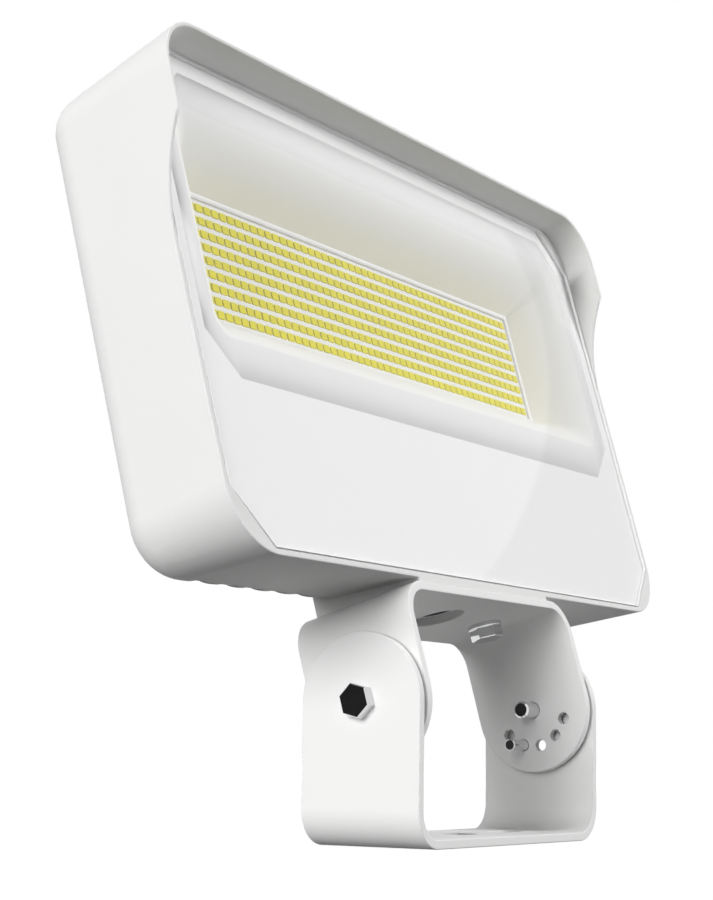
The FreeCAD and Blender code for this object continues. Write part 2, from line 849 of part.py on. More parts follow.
def make_gasket():
    body = head_body("lens_gasket")
    pad(body, lens_octagon(body, "gasket_outer", ledge), S.gasket_thickness)
    pocket(body, cavity_octagon(body, "gasket_inner", mask_back), S.gasket_thickness)


def make_reflector():
    """A flat flange behind the mask, with a mouth that curves down to the lip round the chips."""
    body = head_body("reflector")
    play = S.reflector_play
    flange = octagon(new_sketch(body, "reflector_flange", "XZ_Plane", mask_back),
                     cavity_half_width - play, window_bottom - S.flange_overlap, cavity_top - play,
                     cavity_chamfer - play * inset_share)
    pad(body, flange, S.reflector_wall, reverse=True)
    for kind, wall in (("Additive", S.reflector_wall), ("Subtractive", ZERO)):
        loft = body.newObject(f"PartDesign::{kind}Loft", f"mouth_{kind}")
        sections = mouth_sections(body, kind, wall)
        loft.Profile = sections[0]
        loft.Sections = sections[1:]
        loft.Ruled = True
        doc.recompute()


def mouth_sections(body, kind, wall):
    """The mouth's cross sections, grown by a wall, from the flange to the bottom of the lip."""
    lip_bottom = board_face + S.lip_gap
    lip_top = lip_bottom + S.lip_height
    depth = mask_back - lip_top
    lip_half_width = array_half_width + S.lip_side_margin
    lip_half_height = array_half_height + S.lip_end_margin
    low, high = board_middle - lip_half_height, board_middle + lip_half_height
    wider = window_half_width - S.mouth_side - lip_half_width
    lower = low - window_bottom - S.mouth_bottom
    higher = window_top - S.mouth_top - high
    steps = int(S.mouth_steps.value)
    stations = [(lip_top + depth * (share * (2 - share)) - wall * share, share)
                for share in (number / steps for number in range(steps, -1, -1))]
    sections = []
    for number, (plane, share) in enumerate(stations + [(lip_bottom, 0)]):
        radius = S.lip_radius + (S.mouth_radius - S.lip_radius) * share + wall
        sections.append(rounded_rectangle(
            new_sketch(body, f"mouth_{kind}_{number}", "XZ_Plane", plane),
            lip_half_width + wider * share + wall, low - lower * share - wall,
            high + higher * share + wall, radius, radius))
    return sections


# Light board

def make_board():
    body = head_body("led_board")
    sheet_outline = rectangle(new_sketch(body, "board_outline", "XZ_Plane", board_back),
                              -board_half_width, board_half_width,
                              board_middle - board_half_height, board_middle + board_half_height)
    pad(body, sheet_outline, S.board_thickness)
    drill_board(body, "board_holes", board_face, S.board_thickness)


def drill_board(body, name, plane, depth):
    holes = new_sketch(body, name, "XZ_Plane", plane)
    for x, z in board_screw_spots():
        circle(holes, x, z, S.board_screw_radius + S.yoke_hole_play)
    pocket(body, holes, depth)


def make_thermal_pad():
    body = head_body("thermal_pad")
    across = board_half_width - S.thermal_pad_inset
    up = board_half_height - S.thermal_pad_inset
    pad_outline = rectangle(new_sketch(body, "thermal_outline", "XZ_Plane"),
                            -across, across, board_middle - up, board_middle + up)
    pad(body, pad_outline, S.thermal_pad_thickness)
    drill_board(body, "thermal_holes", S.thermal_pad_thickness, S.thermal_pad_thickness)


def make_chips():
    """Every chip of the array, as one group of separate boxes soldered to the board's face."""
    columns, rows = int(S.chip_columns.value), int(S.chip_rows.value)
    width, height, depth = S.chip_width.value, S.chip_height.value, S.chip_depth.value
    chips = []
    for row in range(rows):
        z = board_middle.value + (row - (rows - 1) / 2) * S.chip_pitch_up.value
        for column in range(columns):
            x = (column - (columns - 1) / 2) * S.chip_pitch_across.value
            corner = Vector(x - width / 2, -board_face.value - depth, z - height / 2)
            chips.append(Part.makeBox(width, depth, height, corner))
    feature = doc.addObject("Part::Feature", "led_chips")
    feature.Shape = Part.makeCompound(chips)
    onto_head(feature)
    return keep(feature, "led_chips")


def forward_screws(name, spots, seat, radius, length, head_radius, head_height):
    """Pan screws driven backwards into the head, with their heads seated that far forward of the axis."""
    screws = []
    for number, (x, z) in enumerate(spots):
        screw = pan_screw(f"{name}_{number}", radius, length, head_radius, head_height)
        aim(screw, ACROSS, 90)
        move(screw, x, -seat, z)
        screws.append(screw)
    whole = group(name, screws)
    onto_head(whole)
    return keep(whole, name)


# Driver bay

def make_driver():
    body = head_body("driver_case")
    half = driver_half_length
    case = rectangle(new_sketch(body, "driver_outline", "XZ_Plane", -S.bay_depth), -half, half,
                     bay_middle - S.driver_height / 2, bay_middle + S.driver_height / 2)
    pad(body, case, S.driver_depth)
    fillet(body, lambda edge: edge_runs_along(edge, DEEP), S.driver_edge)
    ears = rectangle(new_sketch(body, "driver_ears", "XZ_Plane", -S.bay_depth),
                     -half - S.ear_length, half + S.ear_length,
                     bay_middle - S.ear_width / 2, bay_middle + S.ear_width / 2)
    pad(body, ears, S.ear_thickness)
    holes = new_sketch(body, "ear_holes", "XZ_Plane", S.ear_thickness - S.bay_depth)
    for x in (-ear_middle, ear_middle):
        circle(holes, x, bay_middle, S.driver_screw_radius + S.yoke_hole_play)
    pocket(body, holes, S.ear_thickness)


def make_side_units():
    """The surge protector and the terminal block, one at each end of the bay."""
    surge_middle = bay_half_width - S.side_unit_gap - S.surge_width / 2
    surge = box("surge_block", S.surge_width, S.surge_depth, S.surge_height, surge_middle,
                S.bay_depth - S.surge_depth, bay_middle - S.surge_height / 2)
    terminal_middle = S.side_unit_gap + S.terminal_width / 2 - bay_half_width
    terminal_bottom = bay_middle - S.terminal_height / 2
    block = box("terminal_body", S.terminal_width, S.terminal_depth, S.terminal_height, terminal_middle,
                S.bay_depth - S.terminal_depth, terminal_bottom)
    ports = [cylinder(f"wire_port_{number}", S.wire_port_radius, S.wire_port_depth,
                      terminal_middle + S.wire_port_pitch * (number - 1),
                      S.bay_depth - S.terminal_depth / 2, terminal_bottom) for number in range(3)]
    for label, solid in (("surge_protector", surge),
                         ("terminal_block", cut("terminal_cut", block, group("wire_ports", ports)))):
        whole = group(label, [solid])
        onto_head(whole)
        keep(whole, label)


def make_leads():
    """Two leads from the driver, over the bay's edge, to the light board."""
    start = bay_middle + S.driver_height / 2
    length = board_middle - board_half_height + S.lead_overlap - start
    forward = board_face + S.lead_radius + S.running_clearance
    head_pair("led_leads", lambda name: cylinder(name, S.lead_radius, length),
              S.lead_offset, -forward, start)


# Inlet and vent

def make_grommet():
    height = bay_bottom - S.yoke_top
    sleeve = cylinder("grommet_sleeve", S.grommet_radius, height, z=S.yoke_top)
    flange = cylinder("grommet_flange", S.grommet_flange_radius, S.grommet_flange_height, z=bay_bottom)
    bore = cylinder("grommet_bore", S.grommet_bore_radius, height + S.grommet_flange_height, z=S.yoke_top)
    step = cylinder("grommet_step", S.grommet_step_radius, S.grommet_step_height, z=S.yoke_top)
    body = cut("cable_grommet", fuse("grommet_solid", [sleeve, flange]),
               fuse("grommet_hollow", [bore, step]))
    onto_head(body)
    return keep(body, "cable_grommet")


def make_vent():
    stem_length = S.back_depth - S.bay_depth - S.lens_clearance
    cap = cylinder("vent_cap", S.vent_cap_radius, S.vent_cap_height, z=S.vent_seal_thickness)
    stem = cylinder("vent_stem", S.vent_stem_radius, stem_length + S.vent_seal_thickness, z=-stem_length)
    seal = ring("vent_ring", S.vent_seal_radius, S.vent_stem_radius + S.running_clearance,
                S.vent_seal_thickness)
    for label, solid in (("breather_vent", fuse("vent_body", [cap, stem])), ("vent_seal", seal)):
        aim(solid, ACROSS, -90)
        move(solid, ZERO, S.back_depth, bay_middle)
        whole = group(label, [solid])
        onto_head(whole)
        keep(whole, label)


make_lower_bracket()
make_upper_bracket()
make_pivot_bolts()
make_friction_washers()
make_lock_screw()
make_yoke_fixings()
make_housing()
make_lens()
make_mask()
make_gasket()
make_reflector()
make_board()
make_thermal_pad()
make_chips()
forward_screws("board_screws", board_screw_spots(), board_face, S.board_screw_radius,
               S.board_screw_length, S.board_screw_head_radius, S.board_screw_head_height)
make_driver()
forward_screws("driver_screws", [(-ear_middle, bay_middle), (ear_middle, bay_middle)],
               S.ear_thickness - S.bay_depth, S.driver_screw_radius, S.driver_screw_length,
               S.driver_screw_head_radius, S.driver_screw_head_height)
make_side_units()
make_leads()
make_grommet()
make_vent()
doc.recompute()

for thing in doc.Objects:
    if "Invalid" in thing.State or "Error" in thing.State:
        raise RuntimeError(f"{thing.Name} failed: {thing.State}")
for node in nodes:
    if node.Shape.isNull() or not node.Shape.isValid():
        raise RuntimeError(f"{node.Label} has no valid shape")

os.makedirs("parts", exist_ok=True)
for node in nodes:
    node.Shape.exportStep(f"parts/{node.Label}.step")
    print(node.Label, len(node.Shape.Solids), round(node.Shape.Volume, 1))
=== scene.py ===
"""Looks of a tilting flood light: finishes, rounded edges and fine pieces round its CAD frame."""
import json
import math

import bmesh
import bpy
from bpy.props import FloatProperty, FloatVectorProperty, IntProperty, PointerProperty
from mathutils import Matrix, Vector


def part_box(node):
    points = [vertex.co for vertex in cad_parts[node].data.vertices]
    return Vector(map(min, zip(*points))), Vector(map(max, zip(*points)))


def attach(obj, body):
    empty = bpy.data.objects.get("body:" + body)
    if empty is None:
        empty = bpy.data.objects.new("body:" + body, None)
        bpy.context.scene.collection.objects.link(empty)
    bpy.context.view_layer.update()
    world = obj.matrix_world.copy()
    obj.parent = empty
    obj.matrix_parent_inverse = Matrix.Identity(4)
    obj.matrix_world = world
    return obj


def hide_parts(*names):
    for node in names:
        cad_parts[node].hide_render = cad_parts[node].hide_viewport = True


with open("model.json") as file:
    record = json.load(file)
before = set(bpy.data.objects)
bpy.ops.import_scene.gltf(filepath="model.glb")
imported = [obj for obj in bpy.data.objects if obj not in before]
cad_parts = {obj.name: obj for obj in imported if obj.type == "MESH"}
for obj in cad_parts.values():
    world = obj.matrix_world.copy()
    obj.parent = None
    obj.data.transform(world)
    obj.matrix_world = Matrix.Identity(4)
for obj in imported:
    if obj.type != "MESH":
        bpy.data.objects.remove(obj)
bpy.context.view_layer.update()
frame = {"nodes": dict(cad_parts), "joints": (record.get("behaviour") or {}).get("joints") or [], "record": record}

bl_info = {
    "name": "Flood light",
    "version": (1, 0, 0),
    "blender": (4, 5, 0),
    "location": "View3D > Sidebar > Flood light",
    "description": "Builds the looks of a tilting flood light round its CAD frame",
    "category": "Object",
}

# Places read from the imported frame
PIVOT = next(joint for joint in frame["joints"] if joint["name"] == "head_tilt")["pos_m"]
INLET_AXIS = next(mount for mount in frame["record"]["mounts"] if mount["name"] == "cable_entry")["axis"]
REST_TILT = math.atan2(-INLET_AXIS[1], -INLET_AXIS[2])
HEAD = Matrix.Translation(PIVOT) @ Matrix.Rotation(-REST_TILT, 4, "X")
QUARTER = math.pi / 2


def head_box(node):
    """A node's lowest and highest corner in the head's own upright frame: X right, Y back, Z up."""
    upright = HEAD.inverted()
    spots = [upright @ vertex.co for vertex in frame["nodes"][node].data.vertices]
    low = Vector([min(spot[axis] for spot in spots) for axis in range(3)])
    high = Vector([max(spot[axis] for spot in spots) for axis in range(3)])
    return low, high


def facing_front(forward, up):
    """Drawings on the XY plane go upright on the head, that far forward of and above the tilt axis."""
    return HEAD @ Matrix.Translation((0, -forward, up)) @ Matrix.Rotation(QUARTER, 4, "X")


# Sizes and colours

def length(name, description, default):
    return FloatProperty(name=name, description=description, default=default,
                         min=0, unit="LENGTH", precision=5)


def colour(name, description, default):
    return FloatVectorProperty(name=name, description=description, default=default,
                               size=3, min=0, max=1, subtype="COLOR")


class FloodLightSizes(bpy.types.PropertyGroup):
    cast_edge: length("Cast edge", "Rounding of the die-cast head's edges", 0.0005)
    plate_edge: length("Plate edge", "Rounding of the bent plate's edges", 0.0004)
    small_edge: length("Small edge", "Rounding of small moulded and cut pieces", 0.0002)
    hex_turn: FloatProperty(name="Hex turn", description="How far the pivot bolts' heads are turned",
                            default=math.radians(16), subtype="ANGLE")
    hex_corner: length("Hex corner", "Radius over the corners of a bolt's head", 0.00577)
    hex_height: length("Hex height", "Height of a bolt's head", 0.004)
    hex_edge: length("Hex edge", "Chamfer round the face of a bolt's head", 0.0003)
    bolt_radius: length("Bolt radius", "Radius of a bolt's shank", 0.003)
    tip_chamfer: length("Tip chamfer", "Chamfer on the end of a bolt", 0.0006)
    lock_chamfer: length("Lock chamfer", "Chamfer on the ends of the lock screw", 0.00025)
    socket_corner: length("Socket corner", "Radius over the corners of the lock screw's socket", 0.001155)
    socket_depth: length("Socket depth", "Depth of the lock screw's socket", 0.0025)
    pane_relief: length("Pane relief", "Air between the pane and the print behind it", 0.0001)
    print_thickness: length("Print thickness", "Thickness of the print behind the pane", 0.0001)
    mouth_half_width: length("Mouth half width", "Half width of the reflector's opening", 0.1283)
    mouth_bottom: length("Mouth bottom", "Lower edge of the reflector's opening, above the tilt axis", 0.1056)
    mouth_top: length("Mouth top", "Upper edge of the reflector's opening, above the tilt axis", 0.1863)
    mouth_radius: length("Mouth radius", "Corner radius of the reflector's opening", 0.008)
    lip_half_width: length("Lip half width", "Half width inside the lip round the chips", 0.109)
    lip_half_height: length("Lip half height", "Half height inside the lip round the chips", 0.02221)
    lip_radius: length("Lip radius", "Corner radius of the lip", 0.0008)
    lip_width: length("Lip width", "Width of the flat lip round the chips", 0.0018)
    reflector_wall: length("Reflector wall", "Thickness of the reflector's sheet", 0.0006)
    chip_columns: IntProperty(name="Chip columns", description="Chips in a row", default=50, min=1)
    chip_rows: IntProperty(name="Chip rows", description="Rows of chips", default=9, min=1)
    chip_width: length("Chip width", "Width of one chip", 0.0035)
    chip_height: length("Chip height", "Height of one chip", 0.0028)
    chip_corner: length("Chip corner", "Corner radius of one chip", 0.00022)
    chip_depth: length("Chip depth", "Height of one chip above the board", 0.0004)
    vent_ribs: IntProperty(name="Vent ribs", description="Grip ribs round the vent's cap", default=20, min=3)


class FloodLightColours(bpy.types.PropertyGroup):
    cast_paint: colour("Cast paint", "White paint on the die-cast head", (0.78, 0.78, 0.775))
    plate_paint: colour("Plate paint", "White paint on the bent brackets", (0.84, 0.84, 0.835))
    print_white: colour("Print", "White print behind the pane", (0.95, 0.95, 0.95))
    reflector: colour("Reflector", "White reflector sheet", (0.91, 0.91, 0.91))
    # Painted light: the warm colour painted on the reflector near the chips stands for yellow light that they
    # bounce onto it
    reflector_painted_bounce: colour("Reflector near chips", "Reflector where the chips tint it", (0.96, 0.95, 0.89))
    board: colour("Board", "White solder mask of the light board", (0.86, 0.86, 0.85))
    phosphor: colour("Phosphor", "Yellow face of the chips", (0.77, 0.70, 0.035))
    bolt: colour("Bolt", "Bright plated steel", (0.72, 0.72, 0.73))
    rubber: colour("Rubber", "Black seals and inlet", (0.025, 0.025, 0.026))
    nylon: colour("Nylon", "Black friction washers", (0.03, 0.03, 0.03))
    thermal: colour("Thermal sheet", "Grey sheet behind the board", (0.45, 0.46, 0.48))
    driver: colour("Driver", "Bare case of the driver", (0.6, 0.61, 0.62))
    surge: colour("Surge", "Blue surge protector", (0.1, 0.18, 0.42))
    terminal: colour("Terminal", "Grey terminal block", (0.5, 0.5, 0.5))
    lead: colour("Lead", "Red leads to the board", (0.45, 0.04, 0.03))
    vent: colour("Vent", "Black breather vent", (0.04, 0.04, 0.04))


# Shader graphs

class Value:
    """A socket that takes part in Python sums on values; each sum adds a Math node."""

    def __init__(self, graph, socket):
        self.graph = graph
        self.socket = socket

    def sum(self, operation, first, second):
        return self.graph.node("ShaderNodeMath", {"operation": operation}, {0: first, 1: second})["Value"]

    def __add__(self, other):
        return self.sum("ADD", self, other)

    __radd__ = __add__

    def __sub__(self, other):
        return self.sum("SUBTRACT", self, other)

    def __rsub__(self, other):
        return self.sum("SUBTRACT", other, self)

    def __mul__(self, other):
        return self.sum("MULTIPLY", self, other)

    __rmul__ = __mul__


class Node:
    """A node whose outputs are read by name."""

    def __init__(self, graph, node):
        self.graph = graph
        self.node = node

    def __getitem__(self, name):
        return Value(self.graph, find_socket(self.node.outputs, name))


def find_socket(sockets, name):
    if isinstance(name, int):
        return sockets[name]
    return next(socket for socket in sockets if socket.enabled and name in (socket.name, socket.identifier))


class Graph:
    """The node tree of a material or of the world."""

    def __init__(self, owner):
        owner.use_nodes = True
        self.owner = owner
        self.tree = owner.node_tree
        self.tree.nodes.clear()

    def node(self, kind, settings=None, sockets=None):
        """Add a node: its settings first, then the values or links of its sockets."""
        node = self.tree.nodes.new(kind)
        for name, setting in (settings or {}).items():
            setattr(node, name, setting)
        for name, given in (sockets or {}).items():
            socket = find_socket(node.inputs, name)
            if isinstance(given, Value):
                self.tree.links.new(given.socket, socket)
            else:
                socket.default_value = given
        return Node(self, node)

    def coordinates(self):
        return self.node("ShaderNodeTexCoord")["Object"]

    def noise(self, scale, detail=2.0, roughness=0.5):
        return self.node("ShaderNodeTexNoise", None, {
            "Vector": self.coordinates(), "Scale": scale, "Detail": detail, "Roughness": roughness})["Fac"]

    def blend(self, factor, first, second):
        return self.node("ShaderNodeMix", {"data_type": "RGBA"}, {
            "Factor": factor, "A": first, "B": second})["Result"]

    def smooth(self, value, low, high):
        """0 below low, 1 above high and a soft step between."""
        return self.node("ShaderNodeMapRange", {"interpolation_type": "SMOOTHSTEP"}, {
            "Value": value, "From Min": low, "From Max": high})["Result"]

    def bump(self, height, strength, distance):
        return self.node("ShaderNodeBump", None, {
            "Height": height, "Strength": strength, "Distance": distance})["Normal"]

    def principled(self, **sockets):
        named = {name.replace("_", " "): given for name, given in sockets.items()}
        return self.node("ShaderNodeBsdfPrincipled", None, named)["BSDF"]

    def output(self, surface, kind="Material"):
        self.node(f"ShaderNodeOutput{kind}", None, {"Surface": surface})
        return self.owner


def new_graph(name):
    return Graph(bpy.data.materials.new(name))


def opaque(shade):
    return (*shade, 1.0)


def dimmer(shade, share):
    return (*(part * share for part in shade), 1.0)


# Finishes

def powder_coat(name, shade):
    """Satin powder coat: a fine pebbled skin with a faint unevenness in tone."""
    graph = new_graph(name)
    pebble = graph.noise(1500.0, detail=3.0, roughness=0.6)
    cloud = graph.noise(35.0)
    tone = graph.blend(cloud * 0.5 + pebble * 0.5, dimmer(shade, 0.94), opaque(shade))
    return graph.output(graph.principled(
        Base_Color=tone, Roughness=0.5 + pebble * 0.16, Specular_IOR_Level=0.18,
        Normal=graph.bump(pebble, 0.25, 0.00012)))


def plated_steel(name, shade):
    """Bright zinc plating with faint rubbed marks."""
    graph = new_graph(name)
    rub = graph.noise(900.0, detail=3.0)
    cloud = graph.noise(160.0)
    tone = graph.blend(cloud, dimmer(shade, 0.88), opaque(shade))
    return graph.output(graph.principled(
        Base_Color=tone, Metallic=1.0, Roughness=0.04 + rub * 0.06, Normal=graph.bump(rub, 0.02, 0.00005)))


def moulded(name, shade, rough, grain, relief):
    """Moulded plastic or rubber with a fine grain and slightly uneven tone and gloss."""
    graph = new_graph(name)
    pebble = graph.noise(grain, detail=3.0)
    cloud = graph.noise(60.0)
    tone = graph.blend(cloud, dimmer(shade, 0.82), opaque(shade))
    return graph.output(graph.principled(
        Base_Color=tone, Roughness=rough - 0.06 + pebble * 0.12, Specular_IOR_Level=0.4,
        Normal=graph.bump(pebble, relief, 0.0001)))


def cast_metal(name, shade, rough):
    """Bare aluminium with a drawn grain along X."""
    graph = new_graph(name)
    stretched = graph.node("ShaderNodeMapping", None, {
        "Vector": graph.coordinates(), "Scale": (60.0, 2200.0, 2200.0)})["Vector"]
    drawn = graph.node("ShaderNodeTexNoise", None, {"Vector": stretched, "Scale": 1.0, "Detail": 3.0})["Fac"]
    tone = graph.blend(drawn, dimmer(shade, 0.85), opaque(shade))
    return graph.output(graph.principled(
        Base_Color=tone, Metallic=1.0, Roughness=rough + drawn * 0.12,
        Normal=graph.bump(drawn, 0.05, 0.00005)))


# How softly the pane's ground edges end at its faces
GROUND_FADE = 0.00003


def clear_glass(name, front, back):
    """Clear faces under a mirror that grows edge on, and white ground edges between front and back."""
    graph = new_graph(name)
    level = graph.node("ShaderNodeVectorMath", {"operation": "DOT_PRODUCT"}, {
        0: graph.coordinates(), 1: HEAD.to_3x3() @ Vector((0, 1, 0))})["Value"]
    behind_front = graph.smooth(level, front, front + GROUND_FADE)
    ground = behind_front * (1.0 - graph.smooth(level, back - GROUND_FADE, back))
    frost = graph.noise(2500.0)
    edge = graph.principled(Base_Color=graph.blend(frost, (0.9, 0.9, 0.9, 1.0), (0.95, 0.95, 0.95, 1.0)),
                            Roughness=0.6, Specular_IOR_Level=0.2)
    smear = graph.noise(14.0)
    outside = 1.0 - graph.node("ShaderNodeNewGeometry")["Backfacing"]
    mirror = graph.node("ShaderNodeFresnel", None, {"IOR": 1.45})["Fac"] * outside
    through = graph.node("ShaderNodeBsdfTransparent", None, {"Color": (0.99, 0.99, 0.99, 1.0)})["BSDF"]
    gloss = graph.principled(Base_Color=(0.95, 0.95, 0.95, 1.0), Metallic=1.0, Roughness=0.01 + smear * 0.015)
    face = graph.node("ShaderNodeMixShader", None, {"Fac": mirror, 1: through, 2: gloss})["Shader"]
    return graph.output(graph.node("ShaderNodeMixShader", None, {"Fac": ground, 1: face, 2: edge})["Shader"])


def printed_sheet(name, shade):
    """Even white print with the faintest paper-like mottle."""
    graph = new_graph(name)
    mottle = graph.noise(1600.0)
    cloud = graph.noise(25.0)
    tone = graph.blend(mottle * 0.5 + cloud * 0.5, dimmer(shade, 0.975), opaque(shade))
    return graph.output(graph.principled(
        Base_Color=tone, Roughness=0.55 + mottle * 0.1, Specular_IOR_Level=0.2,
        Normal=graph.bump(mottle, 0.05, 0.00005)))


def reflector_sheet(name, shade, painted_bounce):
    """White sheet with a fine sanded grain, a painted warm reflection of the chips' yellow near the lip, and
    painted shade on the flange.
    """
    graph = new_graph(name)
    depth = graph.node("ShaderNodeAttribute", {"attribute_name": "mouth_share"})["Fac"]
    grain = graph.noise(1500.0, detail=3.0)
    # Painted light: a warm tint, strongest at the lip and gone by mid-mouth, stands for the chips' bounced yellow
    # light
    painted_bounce_share = 1.0 - graph.smooth(depth, 0.02, 0.62)
    mouth = graph.blend(painted_bounce_share * 0.85 + grain * 0.06, opaque(shade), opaque(painted_bounce))
    # Painted shade: the flange is darkened all round for the shade that the visor casts on its upper part
    tone = graph.blend(graph.smooth(depth, 0.94, 1.0), mouth, dimmer(shade, 0.93))
    return graph.output(graph.principled(
        Base_Color=tone, Roughness=0.45 + grain * 0.12, Specular_IOR_Level=0.25,
        Normal=graph.bump(grain, 0.08, 0.0001)))


def phosphor(name, shade):
    """Yellow phosphor resin: each chip a little lighter or darker, with a fine powder grain."""
    graph = new_graph(name)
    each = graph.node("ShaderNodeAttribute", {"attribute_name": "chip_tone"})["Fac"]
    powder = graph.noise(3500.0)
    tone = graph.blend(each * 0.6 + powder * 0.4, dimmer(shade, 0.9), opaque(shade))
    return graph.output(graph.principled(
        Base_Color=tone, Roughness=0.5 + powder * 0.15, Specular_IOR_Level=0.3,
        Normal=graph.bump(powder, 0.1, 0.00005)))


# Helpers for pieces

SHARP_ANGLE = math.radians(35)
CRISP_ANGLE = math.radians(28)
FLAT_ANGLE = math.radians(0.3)
WELD_DISTANCE = 2e-6
HEX_POINTS = 60
# How much of the room on a face a cut may take across it and along its edge, and the least cut worth making
ROOM_ACROSS = 0.45
ROOM_ALONG = 0.9
LEAST_CUT = 0.6
LEAST_SLANT = 0.3


def new_piece(mesh, name):
    piece = bpy.data.objects.new(name, mesh)
    bpy.context.scene.collection.objects.link(piece)
    return piece


def dress(piece, finish, body, slot, *nodes):
    """Give a finished piece its material and its body, and hide the nodes that it stands for. The slot is not
    used.
    """
    piece.data.materials.clear()
    piece.data.materials.append(finish)
    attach(piece, body)
    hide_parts(*nodes)
    return piece


def paint_node(node, finish):
    mesh = frame["nodes"][node].data
    mesh.materials.clear()
    mesh.materials.append(finish)


def shade_smooth(mesh, smooth=True):
    mesh.polygons.foreach_set("use_smooth", [smooth] * len(mesh.polygons))
    mesh.update()


def copy_of(node):
    """A CAD node's mesh with its loose triangles joined into whole flat faces."""
    drawing = bmesh.new()
    drawing.from_mesh(frame["nodes"][node].data)
    bmesh.ops.remove_doubles(drawing, verts=drawing.verts, dist=WELD_DISTANCE)
    bmesh.ops.dissolve_limit(drawing, angle_limit=FLAT_ANGLE, verts=drawing.verts, edges=drawing.edges)
    mesh = bpy.data.meshes.new(f"{node}_copy")
    drawing.to_mesh(mesh)
    drawing.free()
    for leftover in ("custom_normal", "sharp_edge", "sharp_face"):
        if leftover in mesh.attributes:
            mesh.attributes.remove(mesh.attributes[leftover])
    return mesh


def soften(piece, radius, segments=2):
    """Round a piece's sharp edges and keep its flat faces flat to the light."""
    shade_smooth(piece.data)
    cut_edges(piece, radius, segments)
    flats = piece.modifiers.new("flat_faces", "WEIGHTED_NORMAL")
    flats.keep_sharp = True
    return piece


def crisp(piece):
    """Shade a piece smoothly, apart from its sharp edges."""
    shade_smooth(piece.data)
    piece.data.set_sharp_from_angle(angle=CRISP_ANGLE)
    return piece


def cut_edges(piece, radius, segments):
    """Cut every sharp edge by the radius, or by less where the faces beside it are too narrow for that."""
    drawing = bmesh.new()
    drawing.from_mesh(piece.data)
    weight = drawing.edges.layers.float.new("bevel_weight_edge")
    sharp = {edge for edge in drawing.edges
             if len(edge.link_faces) == 2 and edge.calc_face_angle() > SHARP_ANGLE}
    room = dict.fromkeys(sharp, radius)
    for face in drawing.faces:
        for edge, width in room_on_face(face, sharp):
            room[edge] = min(room[edge], width)
    for edge, width in room.items():
        edge[weight] = width / radius if width > radius * LEAST_CUT else 0.0
    drawing.to_mesh(piece.data)
    drawing.free()
    bevel = piece.modifiers.new("rounded_edges", "BEVEL")
    bevel.width = radius
    bevel.segments = segments
    bevel.limit_method = "WEIGHT"
    bevel.loop_slide = False
    bevel.use_clamp_overlap = False
    return piece


def room_on_face(face, sharp):
    """The widest cut that each sharp edge of a face can take before it meets another cut there."""
    loops = list(face.loops)
    count = len(loops)
    ways = [loop.link_loop_next.vert.co - loop.vert.co for loop in loops]
    turns = [math.atan2(face.normal.dot(ways[i - 1].cross(ways[i])), ways[i - 1].dot(ways[i]))
             for i in range(count)]
    for i, loop in enumerate(loops):
        if loop.edge not in sharp:
            continue
        width, closing = math.inf, 0.0
        for other, turn in ((i - 1, turns[i]), ((i + 1) % count, turns[(i + 1) % count])):
            if loops[other].edge in sharp:
                closing += math.tan(turn / 2)
            elif abs(math.sin(turn)) > LEAST_SLANT:
                width = min(width, ROOM_ACROSS * ways[other].length * abs(math.sin(turn)))
        if closing > 0:
            width = min(width, ROOM_ALONG * ways[i].length / closing)
        for other in range(count):
            beside = (other - i) % count in (0, 1, count - 1)
            if not beside and loops[other].edge in sharp and ways[other].dot(ways[i]) < 0:
                width = min(width, ROOM_ACROSS * gap_between(loop, loops[other]))
        yield loop.edge, width


def gap_between(first, second):
    """The least distance from the ends of one loop's edge to the other's edge."""
    gaps = []
    for one, two in ((first, second), (second, first)):
        start, end = two.vert.co, two.link_loop_next.vert.co
        for spot in (one.vert.co, one.link_loop_next.vert.co):
            along = (spot - start).dot(end - start) / max((end - start).length_squared, 1e-18)
            gaps.append((start.lerp(end, min(max(along, 0.0), 1.0)) - spot).length)
    return min(gaps)


def softened(node, name, radius):
    return soften(new_piece(copy_of(node), name), radius)


def mesh_from(drawing, name):
    bmesh.ops.recalc_face_normals(drawing, faces=drawing.faces)
    mesh = bpy.data.meshes.new(name)
    drawing.to_mesh(mesh)
    drawing.free()
    return mesh


def add_ring(drawing, spots):
    return [drawing.verts.new(spot) for spot in spots]


def bridge(drawing, first, second):
    count = len(first)
    return [drawing.faces.new((first[i], first[(i + 1) % count], second[(i + 1) % count], second[i]))
            for i in range(count)]


def polar(radius, angle, height):
    return radius * math.cos(angle), radius * math.sin(angle), height


def circle_spots(radius, height, count):
    return [polar(radius, 2 * math.pi * i / count, height) for i in range(count)]


def hex_rim(corner, turn):
    """Points round a hexagon, each as its radius and its angle."""
    flat = corner * math.cos(math.pi / 6)
    rim = []
    for i in range(HEX_POINTS):
        angle = 2 * math.pi * i / HEX_POINTS
        rim.append((flat / math.cos(angle % (math.pi / 3) - math.pi / 6), angle + turn))
    return rim


def skin(drawing, outlines):
    """A closed solid through outlines of as many points each, with flat ends."""
    rings = [add_ring(drawing, spots) for spots in outlines]
    for first, second in zip(rings, rings[1:]):
        bridge(drawing, first, second)
    drawing.faces.new(rings[0])
    drawing.faces.new(rings[-1])


def turned(drawing, profile, count):
    """A closed turned solid from (radius, height) steps, with flat ends."""
    skin(drawing, [circle_spots(radius, height, count) for radius, height in profile])


def hex_bolt(sizes, reach, turn):
    """A hex bolt along Z: a chamfered head on the XY plane and a shank with a chamfered tip below it."""
    drawing = bmesh.new()
    rim = hex_rim(sizes.hex_corner, turn)
    smaller = 1 - sizes.hex_edge / min(radius for radius, _ in rim)
    height, radius, tip = sizes.hex_height, sizes.bolt_radius, sizes.tip_chamfer
    steps = ((1, 0), (1, height - sizes.hex_edge), (smaller, height))
    skin(drawing, [[polar(r * share, angle, z) for r, angle in rim] for share, z in steps])
    turned(drawing, [(radius, 0), (radius, -reach + tip), (radius - tip, -reach)], HEX_POINTS)
    return drawing


